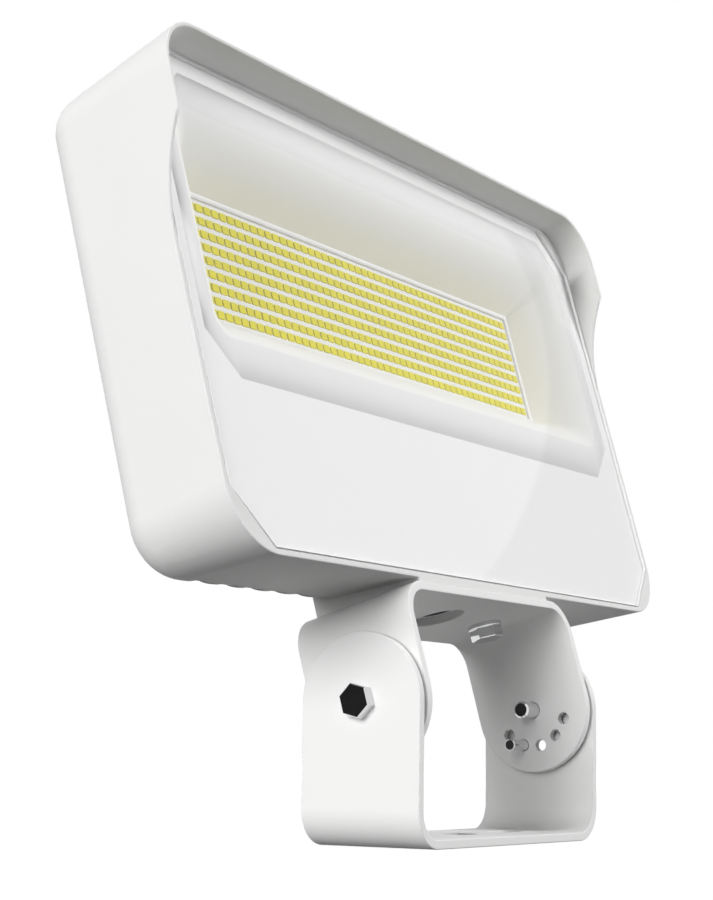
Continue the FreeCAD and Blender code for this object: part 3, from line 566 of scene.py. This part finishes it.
def set_screw(sizes, radius, reach):
    """A headless screw along Z, from a hex socket on the XY plane down to its tip."""
    drawing = bmesh.new()
    tip = sizes.lock_chamfer
    rim = hex_rim(sizes.socket_corner, 0.0)
    steps = ((radius - tip, -reach), (radius, tip - reach), (radius, -tip), (radius - tip, 0))
    outlines = [circle_spots(r, height, HEX_POINTS) for r, height in steps]
    outlines += [[polar(r, angle, height) for r, angle in rim] for height in (0, -sizes.socket_depth)]
    skin(drawing, outlines)
    return drawing


def joined(drawings_and_places, name):
    """One mesh of several drawings, each moved to its place."""
    whole = bmesh.new()
    for drawing, place in drawings_and_places:
        bmesh.ops.recalc_face_normals(drawing, faces=drawing.faces)
        part = bpy.data.meshes.new("part")
        drawing.to_mesh(part)
        drawing.free()
        part.transform(place)
        whole.from_mesh(part)
        bpy.data.meshes.remove(part)
    mesh = bpy.data.meshes.new(name)
    whole.to_mesh(mesh)
    whole.free()
    return mesh


# Helpers for geometry nodes

CHIP_CORNER_POINTS = 3
CHIP_SEED = 7
RIB_POINTS = 8
RIB_SHARE = 0.06


class Tree:
    """A geometry node tree with named inputs."""

    def __init__(self, name):
        self.tree = bpy.data.node_groups.new(name, "GeometryNodeTree")
        self.tree.interface.new_socket("Geometry", in_out="OUTPUT", socket_type="NodeSocketGeometry")
        self.given = {}
        self.entry = self.tree.nodes.new("NodeGroupInput")

    def takes(self, name, kind, value):
        """Add a named input and keep the value that the modifier sets on it."""
        socket = self.tree.interface.new_socket(name, in_out="INPUT", socket_type=f"NodeSocket{kind}")
        self.given[socket.identifier] = value
        return find_socket(self.entry.outputs, name)

    def node(self, kind, settings=None, sockets=None):
        node = self.tree.nodes.new(kind)
        for name, setting in (settings or {}).items():
            setattr(node, name, setting)
        for name, given in (sockets or {}).items():
            socket = find_socket(node.inputs, name)
            if isinstance(given, bpy.types.NodeSocket):
                self.tree.links.new(given, socket)
            else:
                socket.default_value = given
        return node

    def result(self, node, output, finish):
        real = self.node("GeometryNodeRealizeInstances", None, {
            "Geometry": find_socket(node.outputs, output)})
        painted = self.node("GeometryNodeSetMaterial", None, {
            "Geometry": real.outputs["Geometry"], "Material": self.takes("Finish", "Material", finish)})
        leave = self.tree.nodes.new("NodeGroupOutput")
        self.tree.links.new(painted.outputs["Geometry"], leave.inputs["Geometry"])
        return self

    def mesh(self, name):
        """The tree's result as a plain mesh."""
        holder = new_piece(bpy.data.meshes.new(f"{name}_holder"), f"{name}_holder")
        modifier = holder.modifiers.new("nodes", "NODES")
        modifier.node_group = self.tree
        for identifier, value in self.given.items():
            modifier[identifier] = value
        evaluated = holder.evaluated_get(bpy.context.evaluated_depsgraph_get())
        mesh = bpy.data.meshes.new_from_object(evaluated)
        mesh.name = name
        bpy.data.objects.remove(holder)
        return mesh


def chip_rows(sizes, span, rise, finish):
    """Rows of chips with rounded corners on the XY plane, face up, each with a tone of its own."""
    tree = Tree("chip_rows")
    columns = tree.takes("Columns", "Int", sizes.chip_columns)
    rows = tree.takes("Rows", "Int", sizes.chip_rows)
    grid = tree.node("GeometryNodeMeshGrid", None, {
        "Size X": tree.takes("Span", "Float", span), "Size Y": tree.takes("Rise", "Float", rise),
        "Vertices X": columns, "Vertices Y": rows})
    frame_line = tree.node("GeometryNodeCurvePrimitiveQuadrilateral", None, {
        "Width": tree.takes("Chip width", "Float", sizes.chip_width),
        "Height": tree.takes("Chip height", "Float", sizes.chip_height)})
    rounded = tree.node("GeometryNodeFilletCurve", {"mode": "POLY"}, {
        "Curve": frame_line.outputs["Curve"], "Count": CHIP_CORNER_POINTS,
        "Radius": tree.takes("Chip corner", "Float", sizes.chip_corner)})
    face = tree.node("GeometryNodeFillCurve", {"mode": "NGONS"}, {"Curve": rounded.outputs["Curve"]})
    chip = tree.node("GeometryNodeExtrudeMesh", None, {
        "Mesh": face.outputs["Mesh"], "Offset Scale": tree.takes("Chip depth", "Float", sizes.chip_depth)})
    rows_of = tree.node("GeometryNodeInstanceOnPoints", None, {
        "Points": grid.outputs["Mesh"], "Instance": chip.outputs["Mesh"]})
    tone = tree.node("FunctionNodeRandomValue", None, {"Seed": CHIP_SEED})
    toned = tree.node("GeometryNodeStoreNamedAttribute", {"domain": "INSTANCE"}, {
        "Geometry": rows_of.outputs["Instances"], "Name": "chip_tone",
        "Value": find_socket(tone.outputs, "Value")})
    return tree.result(toned, "Geometry", finish).mesh("chip_rows")


def vent_rib_ring(sizes, radius, height, finish):
    """Small round ribs on a circle, standing on the XY plane."""
    tree = Tree("vent_rib_ring")
    ring = tree.node("GeometryNodeMeshCircle", None, {
        "Vertices": tree.takes("Ribs", "Int", sizes.vent_ribs),
        "Radius": tree.takes("Radius", "Float", radius)})
    rib = tree.node("GeometryNodeMeshCylinder", None, {
        "Vertices": RIB_POINTS, "Radius": tree.takes("Rib radius", "Float", radius * RIB_SHARE),
        "Depth": tree.takes("Rib height", "Float", height)})
    ribs = tree.node("GeometryNodeInstanceOnPoints", None, {
        "Points": ring.outputs["Mesh"], "Instance": rib.outputs["Mesh"]})
    return tree.result(ribs, "Instances", finish).mesh("vent_rib_ring")


# Reflector

LIP_RISE = 0.0002
LIP_STEP = 0.00005
# The lip's share keeps it out of both the painted bounce near the chips and the flange's painted shade
LIP_SHARE = 0.8
MOUTH_CURVE = 0.7
MOUTH_RINGS = 16
CORNER_STEPS = 10
FLANGE_CHAMFER = 0.0139


def rounded_spots(half_width, low, high, radius, plane):
    """A rounded rectangle, corner by corner, with the same number of points whatever its size."""
    spots = []
    corners = ((half_width - radius, low + radius, -90), (half_width - radius, high - radius, 0),
               (radius - half_width, high - radius, 90), (radius - half_width, low + radius, 180))
    for x, y, start in corners:
        for step in range(CORNER_STEPS + 1):
            angle = math.radians(start + 90 * step / CORNER_STEPS)
            spots.append((x + radius * math.cos(angle), y + radius * math.sin(angle), plane))
    return spots


def chamfered_spots(half_width, low, high, chamfer, plane):
    """An eight-sided outline with as many points as rounded_spots gives."""
    inner = half_width - chamfer
    cuts = (((inner, low), (half_width, low + chamfer)), ((half_width, high - chamfer), (inner, high)),
            ((-inner, high), (-half_width, high - chamfer)), ((-half_width, low + chamfer), (-inner, low)))
    spots = []
    for start, end in cuts:
        for step in range(CORNER_STEPS + 1):
            share = step / CORNER_STEPS
            x = start[0] + (end[0] - start[0]) * share
            spots.append((x, start[1] + (end[1] - start[1]) * share, plane))
    return spots


def reflector_drawing(sizes, flange_box, front, board_middle):
    """The flange, the curved mouth and the flat lip as one sheet; each ring keeps its share of the mouth."""
    low, high = flange_box
    lip_top = LIP_RISE - high.y
    lip_wide, lip_tall = sizes.lip_half_width + sizes.lip_width, sizes.lip_half_height + sizes.lip_width
    bottom, top = board_middle - lip_tall, board_middle + lip_tall
    outlines = [(chamfered_spots(high.x, low.z, high.z, FLANGE_CHAMFER, front), 1.0)]
    for number in range(MOUTH_RINGS, -1, -1):
        share = number / MOUTH_RINGS
        plane = lip_top + (front - lip_top) * share * (1 + MOUTH_CURVE * (1 - share))
        outlines.append((rounded_spots(
            lip_wide + (sizes.mouth_half_width - lip_wide) * share,
            bottom + (sizes.mouth_bottom - bottom) * share, top + (sizes.mouth_top - top) * share,
            sizes.lip_radius + (sizes.mouth_radius - sizes.lip_radius) * share, plane), share))
    for inset in (LIP_STEP, sizes.lip_width):
        outlines.append((rounded_spots(
            lip_wide - inset, bottom + inset, top - inset, sizes.lip_radius, lip_top), LIP_SHARE))
    drawing = bmesh.new()
    share_layer = drawing.verts.layers.float.new("mouth_share")
    rings = []
    for spots, share in outlines:
        ring = add_ring(drawing, spots)
        for vertex in ring:
            vertex[share_layer] = share
        rings.append(ring)
    for first, second in zip(rings, rings[1:]):
        bridge(drawing, first, second)
    return drawing


# Breather vent

VENT_CAP_HEIGHT = 0.003
VENT_STEM = 0.004
VENT_CHAMFER = 0.0006
VENT_DISH = 0.0005
VENT_EDGE = 0.0001
VENT_POINTS = 48


# Operators

class FLOODLIGHT_OT_housing(bpy.types.Operator):
    """Dress the die-cast head"""

    bl_idname = "floodlight.housing"
    bl_label = "Housing"

    def execute(self, context):
        sizes, colours = context.scene.floodlight_sizes, context.scene.floodlight_colours
        paint = powder_coat("white_powder_cast", colours.cast_paint)
        dress(softened("housing", "housing_shell", sizes.cast_edge), paint, "head", "white_cast", "housing")
        return {"FINISHED"}


class FLOODLIGHT_OT_brackets(bpy.types.Operator):
    """Dress the two bent brackets"""

    bl_idname = "floodlight.brackets"
    bl_label = "Brackets"

    def execute(self, context):
        sizes, colours = context.scene.floodlight_sizes, context.scene.floodlight_colours
        paint = powder_coat("white_powder_plate", colours.plate_paint)
        for node, body in (("lower_bracket", "base"), ("upper_bracket", "head")):
            dress(softened(node, f"{node}_plate", sizes.plate_edge), paint, body, "white_plate", node)
        return {"FINISHED"}


class FLOODLIGHT_OT_fixings(bpy.types.Operator):
    """Make the bolts, the lock screw and the washers of the brackets"""

    bl_idname = "floodlight.fixings"
    bl_label = "Fixings"

    def execute(self, context):
        sizes, colours = context.scene.floodlight_sizes, context.scene.floodlight_colours
        steel = plated_steel("plated_steel", colours.bolt)
        self.pivot_bolts(sizes, steel)
        self.lock_screw(sizes, steel)
        self.yoke_bolts(sizes, steel)
        dress(softened("yoke_washers", "yoke_flat_washers", sizes.small_edge), steel,
              "head", "bolt_steel", "yoke_washers")
        nylon = moulded("black_nylon", colours.nylon, 0.5, 1800.0, 0.1)
        dress(softened("friction_washers", "friction_rings", sizes.small_edge), nylon,
              "head", "washer_black", "friction_washers")
        return {"FINISHED"}

    def pivot_bolts(self, sizes, steel):
        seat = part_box("pivot_bolts")[1].x - sizes.hex_height
        tip = min(abs(vertex.co.x) for vertex in frame["nodes"]["pivot_bolts"].data.vertices)
        bolts = [(hex_bolt(sizes, seat - tip, sizes.hex_turn),
                  Matrix.Translation((side * seat, 0, PIVOT[2])) @ Matrix.Rotation(side * QUARTER, 4, "Y"))
                 for side in (-1, 1)]
        piece = new_piece(joined(bolts, "pivot_hex_bolts"), "pivot_hex_bolts")
        dress(crisp(piece), steel, "head", "bolt_steel", "pivot_bolts")

    def lock_screw(self, sizes, steel):
        low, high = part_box("lock_screw")
        middle = (low + high) / 2
        place = Matrix.Translation((high.x, middle.y, middle.z)) @ Matrix.Rotation(QUARTER, 4, "Y")
        drawing = set_screw(sizes, (high.z - low.z) / 2, high.x - low.x)
        piece = new_piece(joined([(drawing, place)], "lock_set_screw"), "lock_set_screw")
        dress(crisp(piece), steel, "lock_screw", "bolt_steel", "lock_screw")

    def yoke_bolts(self, sizes, steel):
        low, high = head_box("yoke_bolts")
        offset = high.x - sizes.hex_corner
        bolts = [(hex_bolt(sizes, high.z - low.z - sizes.hex_height, 0.0),
                  HEAD @ Matrix.Translation((side * offset, 0, low.z + sizes.hex_height))
                  @ Matrix.Rotation(math.pi, 4, "X")) for side in (-1, 1)]
        piece = new_piece(joined(bolts, "yoke_hex_bolts"), "yoke_hex_bolts")
        dress(crisp(piece), steel, "head", "bolt_steel", "yoke_bolts")


class FLOODLIGHT_OT_pane(bpy.types.Operator):
    """Make the glass pane and the white print and seal behind it"""

    bl_idname = "floodlight.pane"
    bl_label = "Pane"

    def execute(self, context):
        sizes, colours = context.scene.floodlight_sizes, context.scene.floodlight_colours
        low, high = head_box("lens_glass")
        mesh = copy_of("lens_glass")
        upright = HEAD.inverted()
        forward = HEAD.to_3x3() @ Vector((0, -sizes.pane_relief, 0))
        for vertex in mesh.vertices:
            if (upright @ vertex.co).y > high.y - sizes.pane_relief:
                vertex.co += forward
        shade_smooth(mesh, False)
        pane = cut_edges(new_piece(mesh, "clear_pane"), sizes.small_edge, 1)
        axis = (HEAD.to_3x3() @ Vector((0, 1, 0))).dot(HEAD.translation)
        glass = clear_glass("clear_glass", axis + low.y + sizes.small_edge, axis + high.y - sizes.pane_relief)
        dress(pane, glass, "head", "clear_glass", "lens_glass")
        mask = new_piece(self.mask_mesh(sizes.print_thickness), "printed_mask")
        dress(mask, printed_sheet("print_white", colours.print_white), "head", "mask_white", "front_mask")
        paint_node("lens_gasket", moulded("gasket_rubber", colours.rubber, 0.6, 1500.0, 0.1))
        return {"FINISHED"}

    def mask_mesh(self, thickness):
        """The print as a thin sheet right behind the pane."""
        front = head_box("front_mask")[0].y
        mesh = copy_of("front_mask")
        mesh.transform(HEAD.inverted())
        for vertex in mesh.vertices:
            vertex.co.y = min(vertex.co.y, front + thickness)
        mesh.transform(HEAD)
        shade_smooth(mesh, False)
        return mesh


class FLOODLIGHT_OT_reflector(bpy.types.Operator):
    """Make the reflector round the chips"""

    bl_idname = "floodlight.reflector"
    bl_label = "Reflector"

    def execute(self, context):
        sizes, colours = context.scene.floodlight_sizes, context.scene.floodlight_colours
        low, high = head_box("led_chips")
        front = -head_box("front_mask")[0].y - sizes.print_thickness
        drawing = reflector_drawing(sizes, head_box("reflector"), front, (low.z + high.z) / 2)
        mesh = mesh_from(drawing, "reflector_sheet")
        if mesh.polygons[0].normal.z < 0:
            mesh.flip_normals()
        mesh.transform(facing_front(0, 0))
        piece = crisp(new_piece(mesh, "reflector_sheet"))
        sheet = piece.modifiers.new("sheet", "SOLIDIFY")
        sheet.thickness = sizes.reflector_wall
        sheet.offset = -1
        finish = reflector_sheet("reflector_white", colours.reflector, colours.reflector_painted_bounce)
        dress(piece, finish, "head", "reflector_white", "reflector")
        return {"FINISHED"}


class FLOODLIGHT_OT_light_board(bpy.types.Operator):
    """Make the rows of chips and dress the board below them"""

    bl_idname = "floodlight.light_board"
    bl_label = "Light board"

    def execute(self, context):
        sizes, colours = context.scene.floodlight_sizes, context.scene.floodlight_colours
        low, high = head_box("led_chips")
        span = high.x - low.x - sizes.chip_width
        rise = high.z - low.z - sizes.chip_height
        finish = phosphor("yellow_phosphor", colours.phosphor)
        mesh = chip_rows(sizes, span, rise, finish)
        mesh.transform(facing_front(-high.y, (low.z + high.z) / 2))
        dress(new_piece(mesh, "chip_rows"), finish, "head", "phosphor_yellow", "led_chips")
        paint_node("led_board", printed_sheet("board_white", colours.board))
        paint_node("thermal_pad", moulded("thermal_grey", colours.thermal, 0.7, 1200.0, 0.1))
        dress(softened("board_screws", "board_pan_screws", sizes.small_edge),
              plated_steel("board_screw_steel", colours.bolt), "head", "bolt_steel", "board_screws")
        return {"FINISHED"}


class FLOODLIGHT_OT_driver_bay(bpy.types.Operator):
    """Dress the driver and what is wired to it"""

    bl_idname = "floodlight.driver_bay"
    bl_label = "Driver bay"

    def execute(self, context):
        sizes, colours = context.scene.floodlight_sizes, context.scene.floodlight_colours
        for node, name, finish, slot in (
                ("driver_case", "driver_box",
                 cast_metal("driver_metal", colours.driver, 0.3), "driver_metal"),
                ("driver_screws", "driver_pan_screws",
                 plated_steel("driver_steel", colours.bolt), "bolt_steel"),
                ("surge_protector", "surge_block",
                 moulded("surge_blue", colours.surge, 0.45, 900.0, 0.1), "surge_blue"),
                ("terminal_block", "terminal_strip",
                 moulded("terminal_grey", colours.terminal, 0.5, 900.0, 0.1), "terminal_grey")):
            dress(softened(node, name, sizes.small_edge), finish, "head", slot, node)
        paint_node("led_leads", moulded("lead_red", colours.lead, 0.5, 900.0, 0.05))
        return {"FINISHED"}


class FLOODLIGHT_OT_inlet_and_vent(bpy.types.Operator):
    """Make the cable inlet and the breather vent"""

    bl_idname = "floodlight.inlet_and_vent"
    bl_label = "Inlet and vent"

    def execute(self, context):
        sizes, colours = context.scene.floodlight_sizes, context.scene.floodlight_colours
        rubber = moulded("inlet_rubber", colours.rubber, 0.6, 1500.0, 0.15)
        dress(softened("cable_grommet", "inlet_grommet", sizes.small_edge), rubber,
              "head", "seal_black", "cable_grommet")
        paint_node("vent_seal", rubber)
        self.vent(sizes, colours)
        return {"FINISHED"}

    def vent(self, sizes, colours):
        """A turned cap with a dished top and grip ribs round it, on its stem."""
        low, high = head_box("breather_vent")
        middle, cap, reach = (low.z + high.z) / 2, (high.z - low.z) / 2, high.y - low.y
        plastic = moulded("vent_black", colours.vent, 0.45, 1500.0, 0.15)
        drawing = bmesh.new()
        body, seat, dish = cap * 0.95, reach - VENT_CAP_HEIGHT, reach - VENT_DISH
        turned(drawing, [(VENT_STEM, 0), (VENT_STEM, seat), (body, seat), (body, reach - VENT_CHAMFER),
                         (body - VENT_CHAMFER, reach), (body * 0.7, reach), (body * 0.6, dish),
                         (body * 0.1, dish)], VENT_POINTS)
        place = HEAD @ Matrix.Translation((0, low.y, middle)) @ Matrix.Rotation(-QUARTER, 4, "X")
        mesh = joined([(drawing, place)], "vent_cap")
        ribs = vent_rib_ring(sizes, cap * 0.945, VENT_CAP_HEIGHT * 0.7, plastic)
        ribs.transform(place @ Matrix.Translation((0, 0, reach - VENT_CAP_HEIGHT * 0.6)))
        whole = bmesh.new()
        whole.from_mesh(mesh)
        whole.from_mesh(ribs)
        whole.to_mesh(mesh)
        whole.free()
        bpy.data.meshes.remove(ribs)
        dress(soften(new_piece(mesh, "vent_cap"), VENT_EDGE), plastic, "head", "vent_black", "breather_vent")


# Stage

AMBIENT = 0.1
# Lamps: name, place, size and power, all turned to one spot
LAMPS = (
    ("key_left", (-4.0, -0.1, 1.15), 2.4, 188.0),
    ("front_right", (2.0, -3.7, 1.4), 1.6, 82.0),
    ("front_high", (2.0, -3.2, 2.6), 1.2, 88.0),
    ("back_right", (3.2, 3.4, 2.4), 2.4, 110.0),
)
LAMP_TARGET = Vector((0, 0, 0.12))
# Cards that only reflections show: name, place, what they face, width, height and radius of a white middle
CARDS = (
    ("pane_card", (1.224, -0.482, 0.856), (-0.018, 0.014, 0.176), 1.2, 1.0, 0.333),
    ("bolt_card", (-0.95, 0.57, 0.06), (0.0, 0.0, 0.046), 1.3, 1.1, 0.0),
)
CARD_SHADE = (0.02, 0.02, 0.02, 1.0)
# A white middle: its place, the card's shift, and how far and how softly the card darkens round it
MIDDLE_SPOT = (-0.18, 0.02, 0.0)
CARD_SHIFT = (0.2, -0.44, 0.0)
CARD_DIMMING = 0.5
CARD_FADE = 0.004
# The floor: half width, shade, glow to the eye, and the glow's rise between two distances
FLOOR_HALF = 30
FLOOR_SHADE = (0.12, 0.12, 0.12, 1.0)
FLOOR_GLOW = 0.92
FLOOR_RISE = 0.1
FLOOR_NEAR = 0.4
FLOOR_FAR = 1.6
# The camera that was fitted to the photograph: yaw, pitch and roll in degrees
IMAGE_HEIGHT = 900
FOCAL_PIXELS = 1958.59
SENSOR_HEIGHT = 36.0
CAMERA_ANGLES = (56.68, 8.87, 0.77)
CAMERA_SPOT = (-0.58528, -0.34173, 0.02872)


def square(name, half):
    """A flat square mesh on the XY plane."""
    drawing = bmesh.new()
    bmesh.ops.create_grid(drawing, x_segments=1, y_segments=1, size=half)
    mesh = bpy.data.meshes.new(name)
    drawing.to_mesh(mesh)
    drawing.free()
    return mesh


def seen_directly(graph):
    """1 for rays that show a thing to the eye, straight or by way of metal or glass."""
    path = graph.node("ShaderNodeLightPath")
    return path["Is Camera Ray"] + path["Is Glossy Ray"] + path["Is Transmission Ray"]


class FLOODLIGHT_OT_stage(bpy.types.Operator):
    """Set the floor, the lights, the background and the camera"""

    bl_idname = "floodlight.stage"
    bl_label = "Stage"

    def execute(self, context):
        context.scene.view_settings.view_transform = "Standard"
        self.floor()
        self.world(context.scene)
        for name, spot, size, power in LAMPS:
            self.lamp(name, spot, size, power)
        for card in CARDS:
            self.card(*card)
        self.camera(context.scene)
        return {"FINISHED"}

    def floor(self):
        """A wide pale floor that the camera sees as white, apart from the object's shadow."""
        mesh = square("floor", FLOOR_HALF)
        floor = new_piece(mesh, "floor")
        graph = new_graph("pale_floor")
        pale = graph.node("ShaderNodeBsdfDiffuse", None, {"Color": FLOOR_SHADE})["BSDF"]
        spot = graph.node("ShaderNodeVectorMath", {"operation": "LENGTH"}, {0: graph.coordinates()})["Value"]
        shine = graph.node("ShaderNodeEmission", None, {
            "Color": FLOOR_GLOW + FLOOR_RISE * graph.smooth(spot, FLOOR_NEAR, FLOOR_FAR)})["Emission"]
        bright = graph.node("ShaderNodeAddShader", None, {0: pale, 1: shine})["Shader"]
        mesh.materials.append(graph.output(graph.node("ShaderNodeMixShader", None, {
            "Fac": seen_directly(graph), 1: pale, 2: bright})["Shader"]))

    def world(self, scene):
        """White to the eye and in reflections, and a soft even light to everything else."""
        scene.world = bpy.data.worlds.new("studio")
        graph = Graph(scene.world)
        soft = graph.node("ShaderNodeBackground", None, {
            "Color": (1, 1, 1, 1), "Strength": AMBIENT})["Background"]
        white = graph.node("ShaderNodeBackground", None, {
            "Color": (1, 1, 1, 1), "Strength": 1.0})["Background"]
        graph.output(graph.node("ShaderNodeMixShader", None, {
            "Fac": seen_directly(graph), 1: soft, 2: white})["Shader"], "World")

    def lamp(self, name, spot, size, power):
        lamp = bpy.data.lights.new(name, "AREA")
        lamp.shape = "DISK"
        lamp.size = size
        lamp.energy = power
        holder = bpy.data.objects.new(name, lamp)
        holder.location = spot
        aim = LAMP_TARGET - Vector(spot)
        holder.rotation_euler = aim.to_track_quat("-Z", "Y").to_euler()
        holder.visible_glossy = False
        bpy.context.scene.collection.objects.link(holder)

    def card(self, name, spot, target, width, height, middle):
        """A dark card that only reflections show, with a round white middle unless its radius is 0."""
        mesh = square(name, 0.5)
        graph = new_graph(name)
        shade, shift = CARD_SHADE, (0, 0, 0)
        if middle:
            away = graph.node("ShaderNodeVectorMath", {"operation": "DISTANCE"}, {
                0: graph.coordinates(), 1: MIDDLE_SPOT})["Value"]
            shade = 1.0 - CARD_DIMMING * graph.smooth(away, middle - CARD_FADE, middle + CARD_FADE)
            shift = CARD_SHIFT
        mesh.transform(Matrix.Translation(shift) @ Matrix.Diagonal((width, height, 1, 1)))
        light = graph.node("ShaderNodeEmission", None, {"Color": shade})["Emission"]
        mesh.materials.append(graph.output(light))
        card = new_piece(mesh, name)
        back = (Vector(spot) - Vector(target)).normalized()
        across = Vector((0, 0, 1)).cross(back).normalized()
        turn = Matrix((across, back.cross(across), back)).transposed()
        card.matrix_world = Matrix.Translation(spot) @ turn.to_4x4()
        card.visible_camera = card.visible_diffuse = card.visible_transmission = card.visible_shadow = False

    def camera(self, scene):
        lens = bpy.data.cameras.new("camera")
        lens.sensor_fit = "VERTICAL"
        lens.sensor_height = SENSOR_HEIGHT
        lens.lens = SENSOR_HEIGHT * FOCAL_PIXELS / IMAGE_HEIGHT
        lens.clip_start = 0.01
        holder = bpy.data.objects.new("camera", lens)
        yaw, pitch, roll = (math.radians(angle) for angle in CAMERA_ANGLES)
        ahead = Vector((math.sin(yaw) * math.cos(pitch), math.cos(yaw) * math.cos(pitch), math.sin(pitch)))
        right = Vector((math.cos(yaw), -math.sin(yaw), 0))
        up = right.cross(ahead)
        across = right * math.cos(roll) + up * math.sin(roll)
        upwards = up * math.cos(roll) - right * math.sin(roll)
        turn = Matrix((across, upwards, -ahead)).transposed()
        holder.matrix_world = Matrix.Translation(CAMERA_SPOT) @ turn.to_4x4()
        scene.collection.objects.link(holder)
        scene.camera = holder


STEPS = ("housing", "brackets", "fixings", "pane", "reflector", "light_board",
         "driver_bay", "inlet_and_vent", "stage")


class FLOODLIGHT_PT_panel(bpy.types.Panel):
    bl_label = "Flood light"
    bl_idname = "FLOODLIGHT_PT_panel"
    bl_space_type = "VIEW_3D"
    bl_region_type = "UI"
    bl_category = "Flood light"

    def draw(self, context):
        for group in (context.scene.floodlight_sizes, context.scene.floodlight_colours):
            for name in group.bl_rna.properties.keys():
                if name not in ("rna_type", "name"):
                    self.layout.prop(group, name)
        for step in STEPS:
            self.layout.operator(f"floodlight.{step}")


CLASSES = (
    FloodLightSizes, FloodLightColours, FLOODLIGHT_OT_housing, FLOODLIGHT_OT_brackets, FLOODLIGHT_OT_fixings,
    FLOODLIGHT_OT_pane, FLOODLIGHT_OT_reflector, FLOODLIGHT_OT_light_board, FLOODLIGHT_OT_driver_bay,
    FLOODLIGHT_OT_inlet_and_vent, FLOODLIGHT_OT_stage, FLOODLIGHT_PT_panel,
)


def register():
    for kind in CLASSES:
        bpy.utils.register_class(kind)
    bpy.types.Scene.floodlight_sizes = PointerProperty(type=FloodLightSizes)
    bpy.types.Scene.floodlight_colours = PointerProperty(type=FloodLightColours)


def unregister():
    del bpy.types.Scene.floodlight_colours
    del bpy.types.Scene.floodlight_sizes
    for kind in reversed(CLASSES):
        bpy.utils.unregister_class(kind)


def main():
    register()
    for step in STEPS:
        getattr(bpy.ops.floodlight, step)()


if __name__ == "__main__":
    main()
